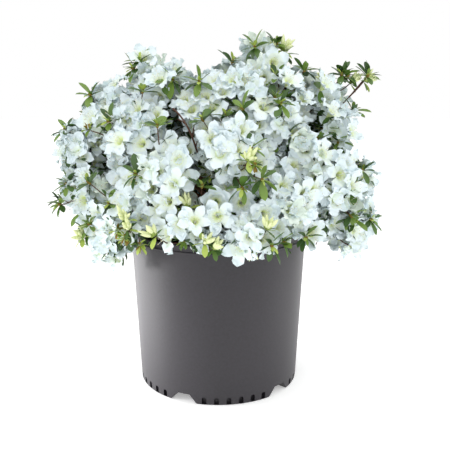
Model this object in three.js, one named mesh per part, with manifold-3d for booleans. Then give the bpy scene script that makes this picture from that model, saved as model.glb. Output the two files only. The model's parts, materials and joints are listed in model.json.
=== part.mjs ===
// A white azalea shrub in full bloom, standing in its plastic nursery pot.
// Millimetres, +Z up. The origin is the middle of the pot's underside, and the front of the
// shrub looks along -Y. A bearing is an angle in degrees round the pot's axis, from the front
// (0) towards +X (90).
import * as THREE from 'three';
import { mergeVertices } from 'three/addons/utils/BufferGeometryUtils.js';
import Module from 'manifold-3d';

const wasm = await Module();
wasm.setup();

// Clearance between any two sub-parts, wider between two stems, and the length below which two
// vertices are one
const CLEAR = 0.3;
const STEM_CLEAR = 1;
const WELD = 1e-4;
const TINY_EDGE = 0.02;

// How far a cutting shape runs past what it cuts
const OVERCUT = 3;

// Pot
const POT_HEIGHT = 247;
const POT_FOOT_RADIUS = 127;
const POT_RIDGE_RADIUS = 139.5;
const POT_RIDGE_HEIGHT = 235;
const POT_WALL = 2.5;
const POT_FLOOR = 3;
const POT_EDGE_ROUND = 2.5;
const POT_SIDES = 36;
const BEAD_PROUD = 1.4;
const BEAD_HALF = 2.2;
const LIP_HEIGHT = 4;
const LIP_ROUND = 1;
const FEET = 5;
const FIRST_NOTCH_BEARING = -25;
const NOTCH_HEIGHT = 14.5;
const NOTCH_TOP_WIDTH = 24;
const NOTCH_FOOT_WIDTH = 49;
const NOTCH_DEPTH = 30;
const FLUTES_PER_FOOT = 6;
const FLUTE_STEP = 8.4;
const FLUTE_RADIUS = 4.2;
const FLUTE_TOP_RADIUS = 3.4;
const FLUTE_HEIGHT = 9.5;
const FLUTE_SIDES = 4;

// Soil
const SOIL_LEVEL = 222;

// Trunk
const TRUNK_HEIGHT = 78;
const TRUNK_FOOT_RADIUS = 11;
const TRUNK_TOP_RADIUS = 7.5;
const TRUNK_FLARE = 7;
const TRUNK_ROOTS = 5;
const TRUNK_FLARE_FADE = 5;
const TRUNK_LEAN = new THREE.Vector3(7, -5, 0);
const TRUNK_SIDES = 15;
const TRUNK_STATIONS = [0, 0.08, 0.2, 0.4, 0.7, 1];

// Boughs: how high they leave the trunk, and how they arch and wander, as shares of their span
const BOUGH_ROOT_RADIUS = 4.6;
const BOUGH_TIP_RADIUS = 2.3;
const BOUGH_SIDES = 6;
const BOUGH_STEPS = 6;
const LOWEST_RISE = 0.22;
const HIGHEST_RISE = 0.97;
const KNEE_PLACE = 0.4;
const KNEE_RISE = 0.16;
const BEND_SHARE = 2 / 3;
const BOUGH_CROOK = 14;
const BOUGH_SEED = 500;

// Stems: a mass's first one goes on from its bough's tip, and the others fork off further back
const STEM_ROOT_RADIUS = 2.4;
const STEM_TIP_RADIUS = 2;
const STEM_SIDES = 3;
const STEM_STEPS = 2;
const STEM_BEND = 0.35;
const FIRST_FORK = 0.86;
const FORK_STEP = 0.14;

// Shoots, which leave the end of a stem one after the other and spread in a spiral
const SHOOTS_SPREAD = 40;
const MOST_OF_STEM = 0.7;
const SHOOT_ROOT_RADIUS = 1;
const SHOOT_TIP_RADIUS = 0.9;
const SHOOT_SIDES = 3;
const WIDEST_SHOOT = 2.2;
const WIDEST_SPRIG_SHOOT = 1.2;
const GOLDEN_TURN = 2.4;
const SPIRAL_START = 0.4;
const TILT_UNEVEN = 0.2;
const TURN_UNEVEN = 0.3;
const OUTWARD_LEAN = 0.3;
const UPWARD_LEAN = 0.2;
const SMALLEST_SCALE = 0.9;
const SCALE_RANGE = 0.2;
const MASS_SEED = 1000;
const SEED_STEP = 37;

// Blossom, buds and leaves
const FLOWER_RADIUS = 30;
const FLOWER_NOTCH_RADIUS = 18;
const FLOWER_DEPTH = 25;
const FLOWER_NOTCH_DEPTH = 17;
const MOUTH_INSET = 0.3;
const THROAT_DEPTH = 14;
const LOBES = 5;
const LEAF_LENGTH = 27;
const LEAF_WIDTH = 10;
const LEAF_THICKNESS = 1.1;
const LEAF_STALK = 4;
const LEAFY_FLOWER_SHARE = 0.55;
const FIRST_LEAF_TURN = 0.3;
const WIDE_LEAF_TILT = 1.3;
const WHORL_LEAF_TILT = 1;
const LEAVES_PER_WHORL = 4;
const LEAVES_PER_BUD = 2;
const BUD_LENGTH = 17;
const BUD_WIDTH = 7;
const TIP_BUD_LENGTH = 8.5;
const TIP_BUD_WIDTH = 5.6;

// How a flower that touches its neighbours is tried again: sunk into the crown, scaled and turned
const SINKS = [0, 14];
const SCALES = [1, 0.85, 0.7];
const TWISTS = [0, 0.42, 0.84];
const FITS = SINKS.flatMap((sink) => (
  SCALES.flatMap((shrink) => TWISTS.map((twist) => ({ sink, shrink, twist })))));

// The middle of the crown, which its blossom faces away from
const HEART = new THREE.Vector3(0, 0, 290);

// How far in from a mass's centre its stem and its bough end, as shares of its radius
const HUB_INSET = 0.3;
const BOUGH_INSET = 0.95;

// Foliage masses: [bearing, reach from the axis, height, radius, flowers, leafy whorls, bud clusters]
const FRONT_MASSES = {
  left_hanging: [-55, 186, 260, 48, 7, 1, 1],
  front_centre_low: [-11, 178, 286, 46, 6, 0, 1],
  front_low: [13, 184, 266, 48, 7, 0, 1],
  right_lower: [72, 202, 263, 54, 8, 0, 0],
  right_edge: [82, 224, 332, 32, 3, 1, 0],
  left_lower: [-77, 200, 312, 52, 8, 0, 0],
  left_low_middle: [-42, 174, 298, 48, 7, 0, 1],
  front_right: [33, 178, 290, 50, 6, 1, 0],
  left_side: [-82, 206, 374, 52, 8, 0, 0],
  front_left: [-27, 166, 342, 52, 8, 0, 0],
  right_front: [56, 186, 334, 54, 7, 1, 0],
  inner_right: [38, 112, 352, 48, 6, 0, 0],
  left_front: [-52, 150, 400, 52, 8, 0, 0],
  centre: [7, 134, 378, 54, 7, 1, 0],
  right_outer: [79, 180, 402, 50, 7, 1, 0],
  centre_right: [42, 110, 424, 48, 7, 0, 0],
  upper_left: [-84, 166, 431, 50, 8, 0, 0],
  top_left: [-60, 94, 466, 50, 8, 0, 0],
  top_middle: [-14, 64, 446, 50, 7, 1, 0],
  right_upper: [86, 164, 450, 46, 6, 0, 0],
  right_inner: [64, 106, 464, 44, 6, 0, 0],
  peak: [84, 72, 501, 50, 8, 0, 0],
  inner_left: [-40, 70, 380, 44, 4, 0, 0],
};

// Rings of masses round the back: [name, count, first bearing, last bearing, reach, height, radius]
const BACK_RINGS = [
  ['back_low', 5, 106, 254, 192, 288, 54],
  ['back_middle', 4, 112, 248, 172, 378, 54],
  ['back_top', 3, 128, 232, 92, 448, 54],
];
const BACK_FLOWERS = 7;
const RING_UNEVEN = 12;
const RING_TURN = 2.4;

// Sprigs that stand out of the crown: [bearing, reach, height, radius, flowers, whorls, bud clusters]
const SPRIGS = {
  sprig_far_left: [-80, 238, 292, 24, 1, 2, 0],
  sprig_top_left: [-72, 120, 494, 26, 1, 3, 0],
  sprig_peak: [88, 84, 524, 20, 0, 2, 1],
  sprig_top_right: [86, 224, 478, 22, 1, 2, 0],
  sprig_top_right_inner: [84, 186, 478, 22, 0, 3, 0],
  sprig_bud_left: [-62, 212, 262, 20, 0, 1, 2],
};

// Boughs, from the lowest on the trunk to the highest: [lead mass, other masses and sprigs it carries]
const BOUGHS = {
  bough_front: ['front_low', 'front_centre_low'],
  bough_left_low: ['left_hanging', 'left_low_middle', 'sprig_bud_left'],
  bough_right_low: ['right_lower', 'right_edge'],
  bough_back_low_left: ['back_low_4', 'back_low_5', 'back_low_3'],
  bough_back_low_right: ['back_low_1', 'back_low_2'],
  bough_front_right: ['right_front', 'front_right', 'inner_right'],
  bough_left: ['left_side', 'left_lower', 'sprig_far_left'],
  bough_right: ['right_outer', 'right_upper', 'sprig_top_right', 'sprig_top_right_inner', 'right_inner'],
  bough_back_left: ['back_middle_4', 'back_middle_3'],
  bough_back_right: ['back_middle_1', 'back_middle_2'],
  bough_front_left: ['left_front', 'front_left'],
  bough_centre: ['centre', 'centre_right'],
  bough_upper_left: ['upper_left', 'back_top_3'],
  bough_top_left: ['top_left', 'top_middle', 'sprig_top_left', 'inner_left'],
  bough_peak: ['peak', 'back_top_1', 'back_top_2', 'sprig_peak'],
};

const UP = new THREE.Vector3(0, 0, 1);
const LEVEL_FRAME = [new THREE.Vector3(1, 0, 0), new THREE.Vector3(0, 1, 0)];
const FULL_TURN = 2 * Math.PI;

// Colours and finishes
const finish = (color, roughness) => new THREE.MeshStandardMaterial({ color, roughness, metalness: 0 });
const POT_FINISH = finish(0x545257, 0.42);
const SOIL_FINISH = finish(0x2e2119, 1);
const BARK_FINISH = finish(0x6a4a38, 0.85);
const BLOSSOM_FINISH = finish(0xeef2f7, 0.7);
const LEAF_FINISH = finish(0x5d7a3a, 0.6);

// A repeatable row of numbers from 0 to 1
function seeded(seed) {
  let state = seed >>> 0;
  return () => {
    state = (Math.imul(state, 1664525) + 1013904223) >>> 0;
    return state / 2 ** 32;
  };
}

function onRing(bearing, reach, height) {
  const angle = THREE.MathUtils.degToRad(bearing);
  return new THREE.Vector3(reach * Math.sin(angle), -reach * Math.cos(angle), height);
}

// A closed geometry as a solid for joining and cutting
function solidOf(geometry) {
  const bare = geometry.clone();
  bare.deleteAttribute('normal');
  bare.deleteAttribute('uv');
  const merged = mergeVertices(bare, WELD);
  const corners = merged.index.array;
  const kept = [];
  for (let i = 0; i < corners.length; i += 3) {
    const [a, b, c] = corners.slice(i, i + 3);
    if (a !== b && b !== c && c !== a) {
      kept.push(a, b, c);
    }
  }
  const mesh = new wasm.Mesh({
    numProp: 3,
    vertProperties: merged.attributes.position.array,
    triVerts: new Uint32Array(kept),
  });
  return new wasm.Manifold(mesh);
}

// The largest connected piece of a solid: loose scraps and sealed hollows go
function mainPiece(solid) {
  const pieces = solid.simplify(TINY_EDGE).decompose();
  return pieces.reduce((best, piece) => (piece.volume() > best.volume() ? piece : best));
}

function meshOf(name, solid, material) {
  const { vertProperties, triVerts } = solid.getMesh();
  const geometry = new THREE.BufferGeometry();
  geometry.setAttribute('position', new THREE.BufferAttribute(vertProperties, 3));
  geometry.setIndex(new THREE.BufferAttribute(triVerts, 1));
  const mesh = new THREE.Mesh(geometry, material);
  mesh.name = name;
  return mesh;
}

const joined = (solids) => solids.reduce((all, solid) => all.add(solid));

// Two directions square to an axis and to each other, the first as near as it can be to a hint
function squareTo(axis, hint) {
  const side = hint.clone().addScaledVector(axis, -hint.dot(axis)).normalize();
  return [side, new THREE.Vector3().crossVectors(axis, side)];
}

// A nearly level direction across an axis, which an upright axis has too
const SLIGHT_RISE = 0.01;
const across = (axis) => new THREE.Vector3(axis.y, -axis.x, SLIGHT_RISE).normalize();

// A direction at an angle to an axis, at a turn round it
function tilted(axis, tilt, turn) {
  const [side, level] = squareTo(axis, across(axis));
  return axis.clone().multiplyScalar(Math.cos(tilt))
    .addScaledVector(side, Math.sin(tilt) * Math.cos(turn))
    .addScaledVector(level, Math.sin(tilt) * Math.sin(turn));
}

// A ring of corners round a centre, in the plane of two directions
function ring(centre, [side, level], radiusAt, sides, turn = 0) {
  return Array.from({ length: sides }, (_, i) => {
    const angle = turn + FULL_TURN * i / sides;
    return centre.clone()
      .addScaledVector(side, radiusAt(angle) * Math.cos(angle))
      .addScaledVector(level, radiusAt(angle) * Math.sin(angle));
  });
}

// One closed skin over rings that all have the same number of corners
function skin(rings) {
  const sides = rings[0].length;
  const last = rings.length - 1;
  const corner = (row, i) => row * sides + (i % sides);
  const faces = [];
  for (let i = 1; i < sides - 1; i += 1) {
    faces.push(corner(0, 0), corner(0, i + 1), corner(0, i));
    faces.push(corner(last, 0), corner(last, i), corner(last, i + 1));
  }
  for (let row = 0; row < last; row += 1) {
    for (let i = 0; i < sides; i += 1) {
      faces.push(corner(row, i), corner(row, i + 1), corner(row + 1, i));
      faces.push(corner(row + 1, i), corner(row, i + 1), corner(row + 1, i + 1));
    }
  }
  return solidOf(new THREE.BufferGeometry().setFromPoints(rings.flat()).setIndex(faces));
}

// Pot

function revolved(points) {
  const profile = points.map(([radius, height]) => new THREE.Vector2(radius, height));
  return solidOf(new THREE.LatheGeometry(profile, POT_SIDES).rotateX(Math.PI / 2));
}

// The plain taper of the wall, without its ridge and lip
const potRadius = (height) => THREE.MathUtils.mapLinear(
  height, 0, POT_RIDGE_HEIGHT, POT_FOOT_RADIUS, POT_RIDGE_RADIUS - BEAD_PROUD);

function potOutside() {
  const bandRadius = potRadius(POT_RIDGE_HEIGHT);
  return revolved([
    [0, 0],
    [POT_FOOT_RADIUS - POT_EDGE_ROUND, 0],
    [potRadius(POT_EDGE_ROUND), POT_EDGE_ROUND],
    [potRadius(POT_RIDGE_HEIGHT - BEAD_HALF), POT_RIDGE_HEIGHT - BEAD_HALF],
    [POT_RIDGE_RADIUS, POT_RIDGE_HEIGHT - BEAD_HALF / 2],
    [POT_RIDGE_RADIUS, POT_RIDGE_HEIGHT + BEAD_HALF / 2],
    [bandRadius, POT_RIDGE_HEIGHT + BEAD_HALF],
    [bandRadius, POT_HEIGHT - LIP_HEIGHT],
    [POT_RIDGE_RADIUS, POT_HEIGHT - LIP_HEIGHT + LIP_ROUND],
    [POT_RIDGE_RADIUS, POT_HEIGHT - LIP_ROUND],
    [bandRadius, POT_HEIGHT],
    [0, POT_HEIGHT],
  ]);
}

// The space inside the pot from its floor up to a level, held off the wall by a margin
function potInside(level, margin) {
  const floor = POT_FLOOR + margin;
  const inset = POT_WALL + margin;
  return revolved([
    [0, floor],
    [potRadius(floor) - inset, floor],
    [potRadius(level) - inset, level],
    [0, level],
  ]);
}

// The recess between two feet, which drains the pot, thicker all round by a margin
function drainNotch(bearing, margin) {
  const top = NOTCH_TOP_WIDTH / 2 + margin;
  const foot = NOTCH_FOOT_WIDTH / 2 + margin;
  const height = NOTCH_HEIGHT + margin;
  const outline = new THREE.Shape([
    new THREE.Vector2(-foot, -OVERCUT),
    new THREE.Vector2(foot, -OVERCUT),
    new THREE.Vector2(top, height),
    new THREE.Vector2(-top, height),
  ]);
  const depth = 2 * NOTCH_DEPTH;
  const block = new THREE.ExtrudeGeometry(outline, { depth, bevelEnabled: false, steps: 1 });
  block.rotateX(Math.PI / 2);
  block.translate(0, depth - (POT_FOOT_RADIUS + NOTCH_DEPTH - margin), 0);
  block.rotateZ(THREE.MathUtils.degToRad(bearing));
  return solidOf(block);
}

function drainNotches(margin) {
  const turns = Array.from({ length: FEET }, (_, i) => FIRST_NOTCH_BEARING + i * 360 / FEET);
  return joined(turns.map((bearing) => drainNotch(bearing, margin)));
}

// The short upright grooves round the foot of the wall, open at the bottom
function footFlutes() {
  const grooves = [];
  for (let foot = 0; foot < FEET; foot += 1) {
    const middle = FIRST_NOTCH_BEARING + (foot + 0.5) * 360 / FEET;
    for (let i = 0; i < FLUTES_PER_FOOT; i += 1) {
      const bearing = middle + (i - (FLUTES_PER_FOOT - 1) / 2) * FLUTE_STEP;
      const { x, y } = onRing(bearing, POT_FOOT_RADIUS + FLUTE_RADIUS / 2, 0);
      const height = 2 * FLUTE_HEIGHT;
      const groove = new THREE.CylinderGeometry(FLUTE_TOP_RADIUS, FLUTE_RADIUS, height, FLUTE_SIDES);
      grooves.push(solidOf(groove.rotateX(Math.PI / 2).translate(x, y, 0)));
    }
  }
  return joined(grooves);
}

const pot = mainPiece(
  potOutside()
    .subtract(drainNotches(0))
    .subtract(footFlutes())
    .subtract(potInside(POT_HEIGHT + OVERCUT, 0).subtract(drainNotches(POT_WALL))));

const soil = mainPiece(potInside(SOIL_LEVEL, CLEAR).subtract(drainNotches(POT_WALL + CLEAR)));

// Limbs

// A round limb with a ring of corners at each station along its curve, larger all over by a
// margin. Each ring follows on from the one before, so that the limb doesn't twist.
function limb(curve, stations, radiusAt, sides, margin = 0) {
  let hint = across(curve.getTangent(0));
  return skin(stations.map((along) => {
    const heading = curve.getTangent(along);
    const frame = squareTo(heading, hint);
    const centre = curve.getPoint(along).addScaledVector(heading, margin * (2 * along - 1));
    [hint] = frame;
    return ring(centre, frame, () => radiusAt(along) + margin, sides);
  }));
}

const evenly = (steps) => Array.from({ length: steps + 1 }, (_, i) => i / steps);

const trunkFoot = new THREE.Vector3(0, 0, SOIL_LEVEL + CLEAR);
const trunkTop = trunkFoot.clone().add(TRUNK_LEAN).setZ(SOIL_LEVEL + TRUNK_HEIGHT);

// The trunk tapers, and its foot spreads in ridges where the roots leave
function trunkRadius(along, angle) {
  const ridge = (1 + Math.cos(TRUNK_ROOTS * angle)) / 2;
  const flare = TRUNK_FLARE * ridge * (1 - along) ** TRUNK_FLARE_FADE;
  return THREE.MathUtils.lerp(TRUNK_FOOT_RADIUS, TRUNK_TOP_RADIUS, along) + flare;
}

// Level rings leave the trunk flat where it meets the soil
function trunkSolid(margin) {
  return skin(TRUNK_STATIONS.map((along) => {
    const centre = trunkFoot.clone().lerp(trunkTop, along);
    centre.z += margin * (2 * along - 1);
    return ring(centre, LEVEL_FRAME, (angle) => trunkRadius(along, angle) + margin, TRUNK_SIDES);
  }));
}

const trunk = trunkSolid(0);
const trunkFat = trunkSolid(CLEAR);

// Masses and sprigs, each with its place, size and share of flowers, leafy whorls and buds

function massSpec(name, index, [bearing, reach, height, radius, flowers, whorls, buds]) {
  const centre = onRing(bearing, reach, height);
  const outward = centre.clone().sub(HEART).normalize();
  return { name, index, centre, outward, radius, flowers, whorls, buds };
}

function backMasses() {
  const found = {};
  for (const [name, count, first, last, reach, height, radius] of BACK_RINGS) {
    for (let i = 0; i < count; i += 1) {
      const uneven = RING_UNEVEN * Math.sin(RING_TURN * i + height);
      const bearing = THREE.MathUtils.lerp(first, last, i / (count - 1));
      found[`${name}_${i + 1}`] = [bearing, reach + uneven, height - uneven, radius, BACK_FLOWERS, i % 2, 0];
    }
  }
  return found;
}

const specs = Object.entries({ ...FRONT_MASSES, ...backMasses(), ...SPRIGS })
  .map(([name, sizes], index) => massSpec(name, index, sizes));
const specNamed = Object.fromEntries(specs.map((spec) => [spec.name, spec]));

// A place on the line from the middle of the crown to a mass, short of the mass's centre
function inset(spec, share) {
  return spec.centre.clone().addScaledVector(spec.outward, -share * spec.radius);
}

// A bough leaves the trunk at its own height, arches out and ends where it enters its first mass
function boughCurve(index, carried) {
  const random = seeded(BOUGH_SEED + index);
  const rise = THREE.MathUtils.lerp(LOWEST_RISE, HIGHEST_RISE, index / (Object.keys(BOUGHS).length - 1));
  const start = trunkFoot.clone().lerp(trunkTop, rise);
  const tip = inset(specNamed[carried[0]], BOUGH_INSET);
  const knee = start.clone().lerp(tip, KNEE_PLACE);
  knee.z += KNEE_RISE * tip.distanceTo(start);
  const bends = [start, tip].map((end) => {
    const crook = new THREE.Vector3(random() - 0.5, random() - 0.5, random() - 0.5);
    return end.clone().lerp(knee, BEND_SHARE).addScaledVector(crook, BOUGH_CROOK);
  });
  return new THREE.CubicBezierCurve3(start, ...bends, tip);
}

const boughRadius = (along) => THREE.MathUtils.lerp(BOUGH_ROOT_RADIUS, BOUGH_TIP_RADIUS, along);

const boughs = [];
Object.entries(BOUGHS).forEach(([name, carried], index) => {
  const curve = boughCurve(index, carried);
  const stations = evenly(BOUGH_STEPS);
  const fat = limb(curve, stations, boughRadius, BOUGH_SIDES, CLEAR);
  const solid = boughs.reduce(
    (rest, earlier) => rest.subtract(earlier.fat),
    limb(curve, stations, boughRadius, BOUGH_SIDES).subtract(trunkFat));
  boughs.push({ name, carried, curve, fat, solid: mainPiece(solid) });
});

function stemCurve(bough, order, spec) {
  const along = order === 0 ? 1 : FIRST_FORK - FORK_STEP * (order - 1);
  const start = bough.curve.getPoint(along);
  const hub = inset(spec, HUB_INSET);
  const heading = bough.curve.getTangent(along);
  const bend = start.clone().addScaledVector(heading, STEM_BEND * start.distanceTo(hub));
  return new THREE.QuadraticBezierCurve3(start, bend, hub);
}

const stemRadius = (along) => THREE.MathUtils.lerp(STEM_ROOT_RADIUS, STEM_TIP_RADIUS, along);

// Solids that are already in place, each with its node and its turn there: limbs have none
const taken = [];

function take(node, turn, solid) {
  taken.push({ node, turn, solid, box: solid.boundingBox() });
}

function boxesMeet(a, b) {
  return [0, 1, 2].every((axis) => a.min[axis] <= b.max[axis] && b.min[axis] <= a.max[axis]);
}

function clashes(solid, matters) {
  const box = solid.boundingBox();
  return taken.some((other) => matters(other) && boxesMeet(box, other.box)
    && !solid.intersect(other.solid).isEmpty());
}

take('pot', null, pot);
take('soil', null, soil);
take('trunk', null, trunk);
boughs.forEach((bough) => take(bough.name, null, bough.solid));

const stems = {};
for (const bough of boughs) {
  bough.carried.forEach((name, order) => {
    const curve = stemCurve(bough, order, specNamed[name]);
    const stations = evenly(STEM_STEPS);
    const fat = limb(curve, stations, (along) => stemRadius(along) + STEM_CLEAR, STEM_SIDES);
    const whole = limb(curve, stations, stemRadius, STEM_SIDES);
    const solid = mainPiece([...boughs, ...Object.values(stems)]
      .reduce((rest, other) => rest.subtract(other.fat), whole));
    stems[name] = { curve, fat, solid };
    take(name, null, solid);
  });
}

// Blossom, buds and leaves

// A leaf built along +Z from the origin, wider all over by a margin: eight faces, widest in the middle
function leafSolid(margin) {
  const leaf = new THREE.OctahedronGeometry(1);
  leaf.scale(LEAF_WIDTH / 2 + margin, LEAF_THICKNESS / 2 + margin, LEAF_LENGTH / 2 + margin);
  return solidOf(leaf.translate(0, 0, LEAF_LENGTH / 2));
}

const plainLeaf = leafSolid(0);
const fatLeaf = leafSolid(CLEAR);

// A leaf moved to its base, turned to point along a direction with its face to the sky, and scaled
function placed(leaf, { base, direction, scale }) {
  const [side, level] = squareTo(direction, UP);
  const turn = new THREE.Matrix4().makeBasis(level.negate(), side, direction);
  return leaf.transform(turn.scale(new THREE.Vector3(scale, scale, scale)).setPosition(base).elements);
}

// A three-sided shoot that opens into a five-sided funnel and five pointed lobes, in one skin
function flowerSolid(root, tip, facing, spin, scale, margin) {
  const frame = squareTo(facing, tilted(facing, Math.PI / 2, spin));
  const heading = tip.clone().sub(root).normalize();
  const at = (depth) => tip.clone().addScaledVector(facing, depth);
  const notchReach = FLOWER_NOTCH_RADIUS * scale + margin;
  const lobeReach = FLOWER_RADIUS * scale + 2 * margin;
  const points = [
    ...ring(root, squareTo(heading, frame[0]), () => SHOOT_ROOT_RADIUS + margin, SHOOT_SIDES),
    ...ring(tip, frame, () => SHOOT_TIP_RADIUS + margin, SHOOT_SIDES),
    ...ring(at(FLOWER_NOTCH_DEPTH * scale - margin), frame, () => notchReach, LOBES),
    ...ring(at(FLOWER_DEPTH * scale + margin), frame, () => lobeReach, LOBES, Math.PI / LOBES),
    at(THROAT_DEPTH * scale + 2 * margin),
  ];
  const cornersFrom = (first, count) => (i) => first + (i % count);
  const rootCorner = cornersFrom(0, SHOOT_SIDES);
  const neck = cornersFrom(SHOOT_SIDES, SHOOT_SIDES);
  const notch = cornersFrom(2 * SHOOT_SIDES, LOBES);
  const lobe = cornersFrom(2 * SHOOT_SIDES + LOBES, LOBES);
  const throat = points.length - 1;
  const faces = [rootCorner(2), rootCorner(1), rootCorner(0)];
  for (let i = 0; i < SHOOT_SIDES; i += 1) {
    faces.push(rootCorner(i), rootCorner(i + 1), neck(i));
    faces.push(neck(i), rootCorner(i + 1), neck(i + 1));
  }
  for (let i = 0, j = 0; i < SHOOT_SIDES || j < LOBES;) {
    if ((j + 1) * SHOOT_SIDES <= (i + 1) * LOBES) {
      faces.push(neck(i), notch(j + 1), notch(j));
      j += 1;
    } else {
      faces.push(neck(i), neck(i + 1), notch(j));
      i += 1;
    }
  }
  for (let i = 0; i < LOBES; i += 1) {
    faces.push(notch(i), notch(i + 1), lobe(i));
    faces.push(throat, notch(i), lobe(i));
    faces.push(throat, lobe(i), notch(i + 1));
  }
  return solidOf(new THREE.BufferGeometry().setFromPoints(points).setIndex(faces));
}

// A three-sided shoot that ends in a closed bud
function budSolid(root, tip, facing, length, width, margin) {
  const frame = squareTo(facing, tilted(facing, Math.PI / 2, 0));
  const heading = tip.clone().sub(root).normalize();
  const at = (depth) => tip.clone().addScaledVector(facing, depth);
  return skin([
    ring(root, squareTo(heading, frame[0]), () => SHOOT_ROOT_RADIUS + margin, SHOOT_SIDES),
    ring(tip, frame, () => SHOOT_TIP_RADIUS + margin, SHOOT_SIDES),
    ring(at(length / 2), frame, () => width / 2 + margin, SHOOT_SIDES),
    Array(SHOOT_SIDES).fill(at(length + margin)),
  ]);
}

// The shoots of one mass, spread over the side of it that faces out of the crown in a spiral.
// Every random draw is made here, before any shoot is tried in its place.
function plannedShoots(spec) {
  const random = seeded(MASS_SEED + SEED_STEP * spec.index);
  const others = [...Array(spec.whorls).fill('whorl'), ...Array(spec.buds).fill('buds')];
  const total = spec.flowers + others.length;
  const dealt = (rank) => Math.floor(rank * others.length / total);
  const offset = random() * FULL_TURN;
  const spread = spec.name in SPRIGS ? WIDEST_SPRIG_SHOOT : WIDEST_SHOOT;
  return Array.from({ length: total }, (_, rank) => {
    const kind = dealt(rank + 1) > dealt(rank) ? others[dealt(rank)] : 'flower';
    const tilt = spread * Math.sqrt((rank + SPIRAL_START) / total) + (random() - 0.5) * TILT_UNEVEN;
    const turn = offset + rank * GOLDEN_TURN + (random() - 0.5) * TURN_UNEVEN;
    const direction = tilted(spec.outward, tilt, turn);
    const facing = direction.clone()
      .addScaledVector(spec.outward, OUTWARD_LEAN)
      .addScaledVector(UP, UPWARD_LEAN)
      .normalize();
    const scale = SMALLEST_SCALE + SCALE_RANGE * random();
    const spin = random() * FULL_TURN;
    const flowerLeaves = random() < LEAFY_FLOWER_SHARE ? 1 : 0;
    const leaves = { flower: flowerLeaves, whorl: LEAVES_PER_WHORL, buds: LEAVES_PER_BUD }[kind];
    return { kind, share: rank / total, direction, facing, scale, spin, leaves };
  });
}

const SHOOT_ENDS = {
  flower: { length: FLOWER_DEPTH, leafTilt: WIDE_LEAF_TILT },
  whorl: { length: TIP_BUD_LENGTH, width: TIP_BUD_WIDTH, leafTilt: WHORL_LEAF_TILT },
  buds: { length: BUD_LENGTH, width: BUD_WIDTH, leafTilt: WIDE_LEAF_TILT },
};

// The neck of a shoot's flower or bud, whose mouth is a little within the mass's radius
function shootTip(spec, { kind, direction, facing, scale }) {
  return spec.centre.clone()
    .addScaledVector(direction, spec.radius - MOUTH_INSET * FLOWER_RADIUS)
    .addScaledVector(facing, -SHOOT_ENDS[kind].length * scale);
}

function shootLeaves({ kind, facing, scale, spin, leaves }, tip) {
  const base = tip.clone().addScaledVector(facing, LEAF_STALK * scale);
  return Array.from({ length: leaves }, (_, i) => {
    const turn = spin + FULL_TURN * (i + FIRST_LEAF_TURN) / leaves;
    return { base, direction: tilted(facing, SHOOT_ENDS[kind].leafTilt, turn), scale };
  });
}

// The shoot with its flower or bud, fatter by a margin, as a fit sinks, scales and turns it
function shootSolid({ kind, facing, spin, scale }, root, neck, { sink, shrink, twist }, margin) {
  const tip = neck.clone().addScaledVector(facing, -sink);
  const { length, width } = SHOOT_ENDS[kind];
  return kind === 'flower'
    ? flowerSolid(root, tip, facing, spin + twist, scale * shrink, margin)
    : budSolid(root, tip, facing, length * scale, width * scale, margin);
}

const grown = Object.fromEntries(specs.map((spec) => [spec.name, [stems[spec.name].solid]]));

// A shoot is tried in each fit against everything but its own stem and its neighbours' roots
function growShoot(spec, turn, shoot) {
  const tip = shootTip(spec, shoot);
  const { curve } = stems[spec.name];
  const back = shoot.share * Math.min(MOST_OF_STEM, SHOOTS_SPREAD / curve.getLength());
  const root = curve.getPoint(1 - back);
  const halfway = root.clone().lerp(tip, 0.5);
  const isElsewhere = (other) => other.node !== spec.name;
  const isOther = (other) => isElsewhere(other) || (other.turn !== turn && other.turn !== null);
  const fit = FITS.find((tried) => (
    !clashes(shootSolid(shoot, root, tip, tried, CLEAR), isElsewhere)
    && !clashes(shootSolid(shoot, halfway, tip, tried, CLEAR), isOther)));
  if (!fit) {
    return;
  }
  const placeSolid = (solid) => {
    grown[spec.name].push(solid);
    take(spec.name, turn, solid);
  };
  placeSolid(shootSolid(shoot, root, tip, fit, 0));
  shootLeaves(shoot, tip.addScaledVector(shoot.facing, -fit.sink))
    .filter((leaf) => !clashes(placed(fatLeaf, leaf), isOther))
    .forEach((leaf) => placeSolid(placed(plainLeaf, leaf)));
}

// Masses take turns, one shoot each. A shoot or leaf that would touch another is skipped.
const plans = specs.map((spec) => plannedShoots(spec));
const mostShoots = Math.max(...plans.map((plan) => plan.length));
for (let turn = 0; turn < mostShoots; turn += 1) {
  specs.forEach((spec, i) => {
    if (plans[i][turn]) {
      growShoot(spec, turn, plans[i][turn]);
    }
  });
}

// The whole plant in its pot

const group = new THREE.Group();
group.add(meshOf('pot', pot, POT_FINISH));
group.add(meshOf('soil', soil, SOIL_FINISH));
group.add(meshOf('trunk', trunk, BARK_FINISH));
for (const bough of boughs) {
  group.add(meshOf(bough.name, bough.solid, BARK_FINISH));
}
for (const { name } of specs) {
  group.add(meshOf(name, mainPiece(joined(grown[name])), name in SPRIGS ? LEAF_FINISH : BLOSSOM_FINISH));
}

export default group;
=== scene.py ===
"""A white azalea shrub in full bloom, standing in its plastic nursery pot.

Sizes are millimetres, +Z up, from the middle of the pot's underside, and are turned into metres
where a mesh is made. A bearing is an angle in degrees round the pot's axis, from the front (0)
towards +X (90). The shrub grows by the same seeded rule as the solids do, carried on to finer
twigs, full leaves and open flowers.
"""
import copy
import json
import math

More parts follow.
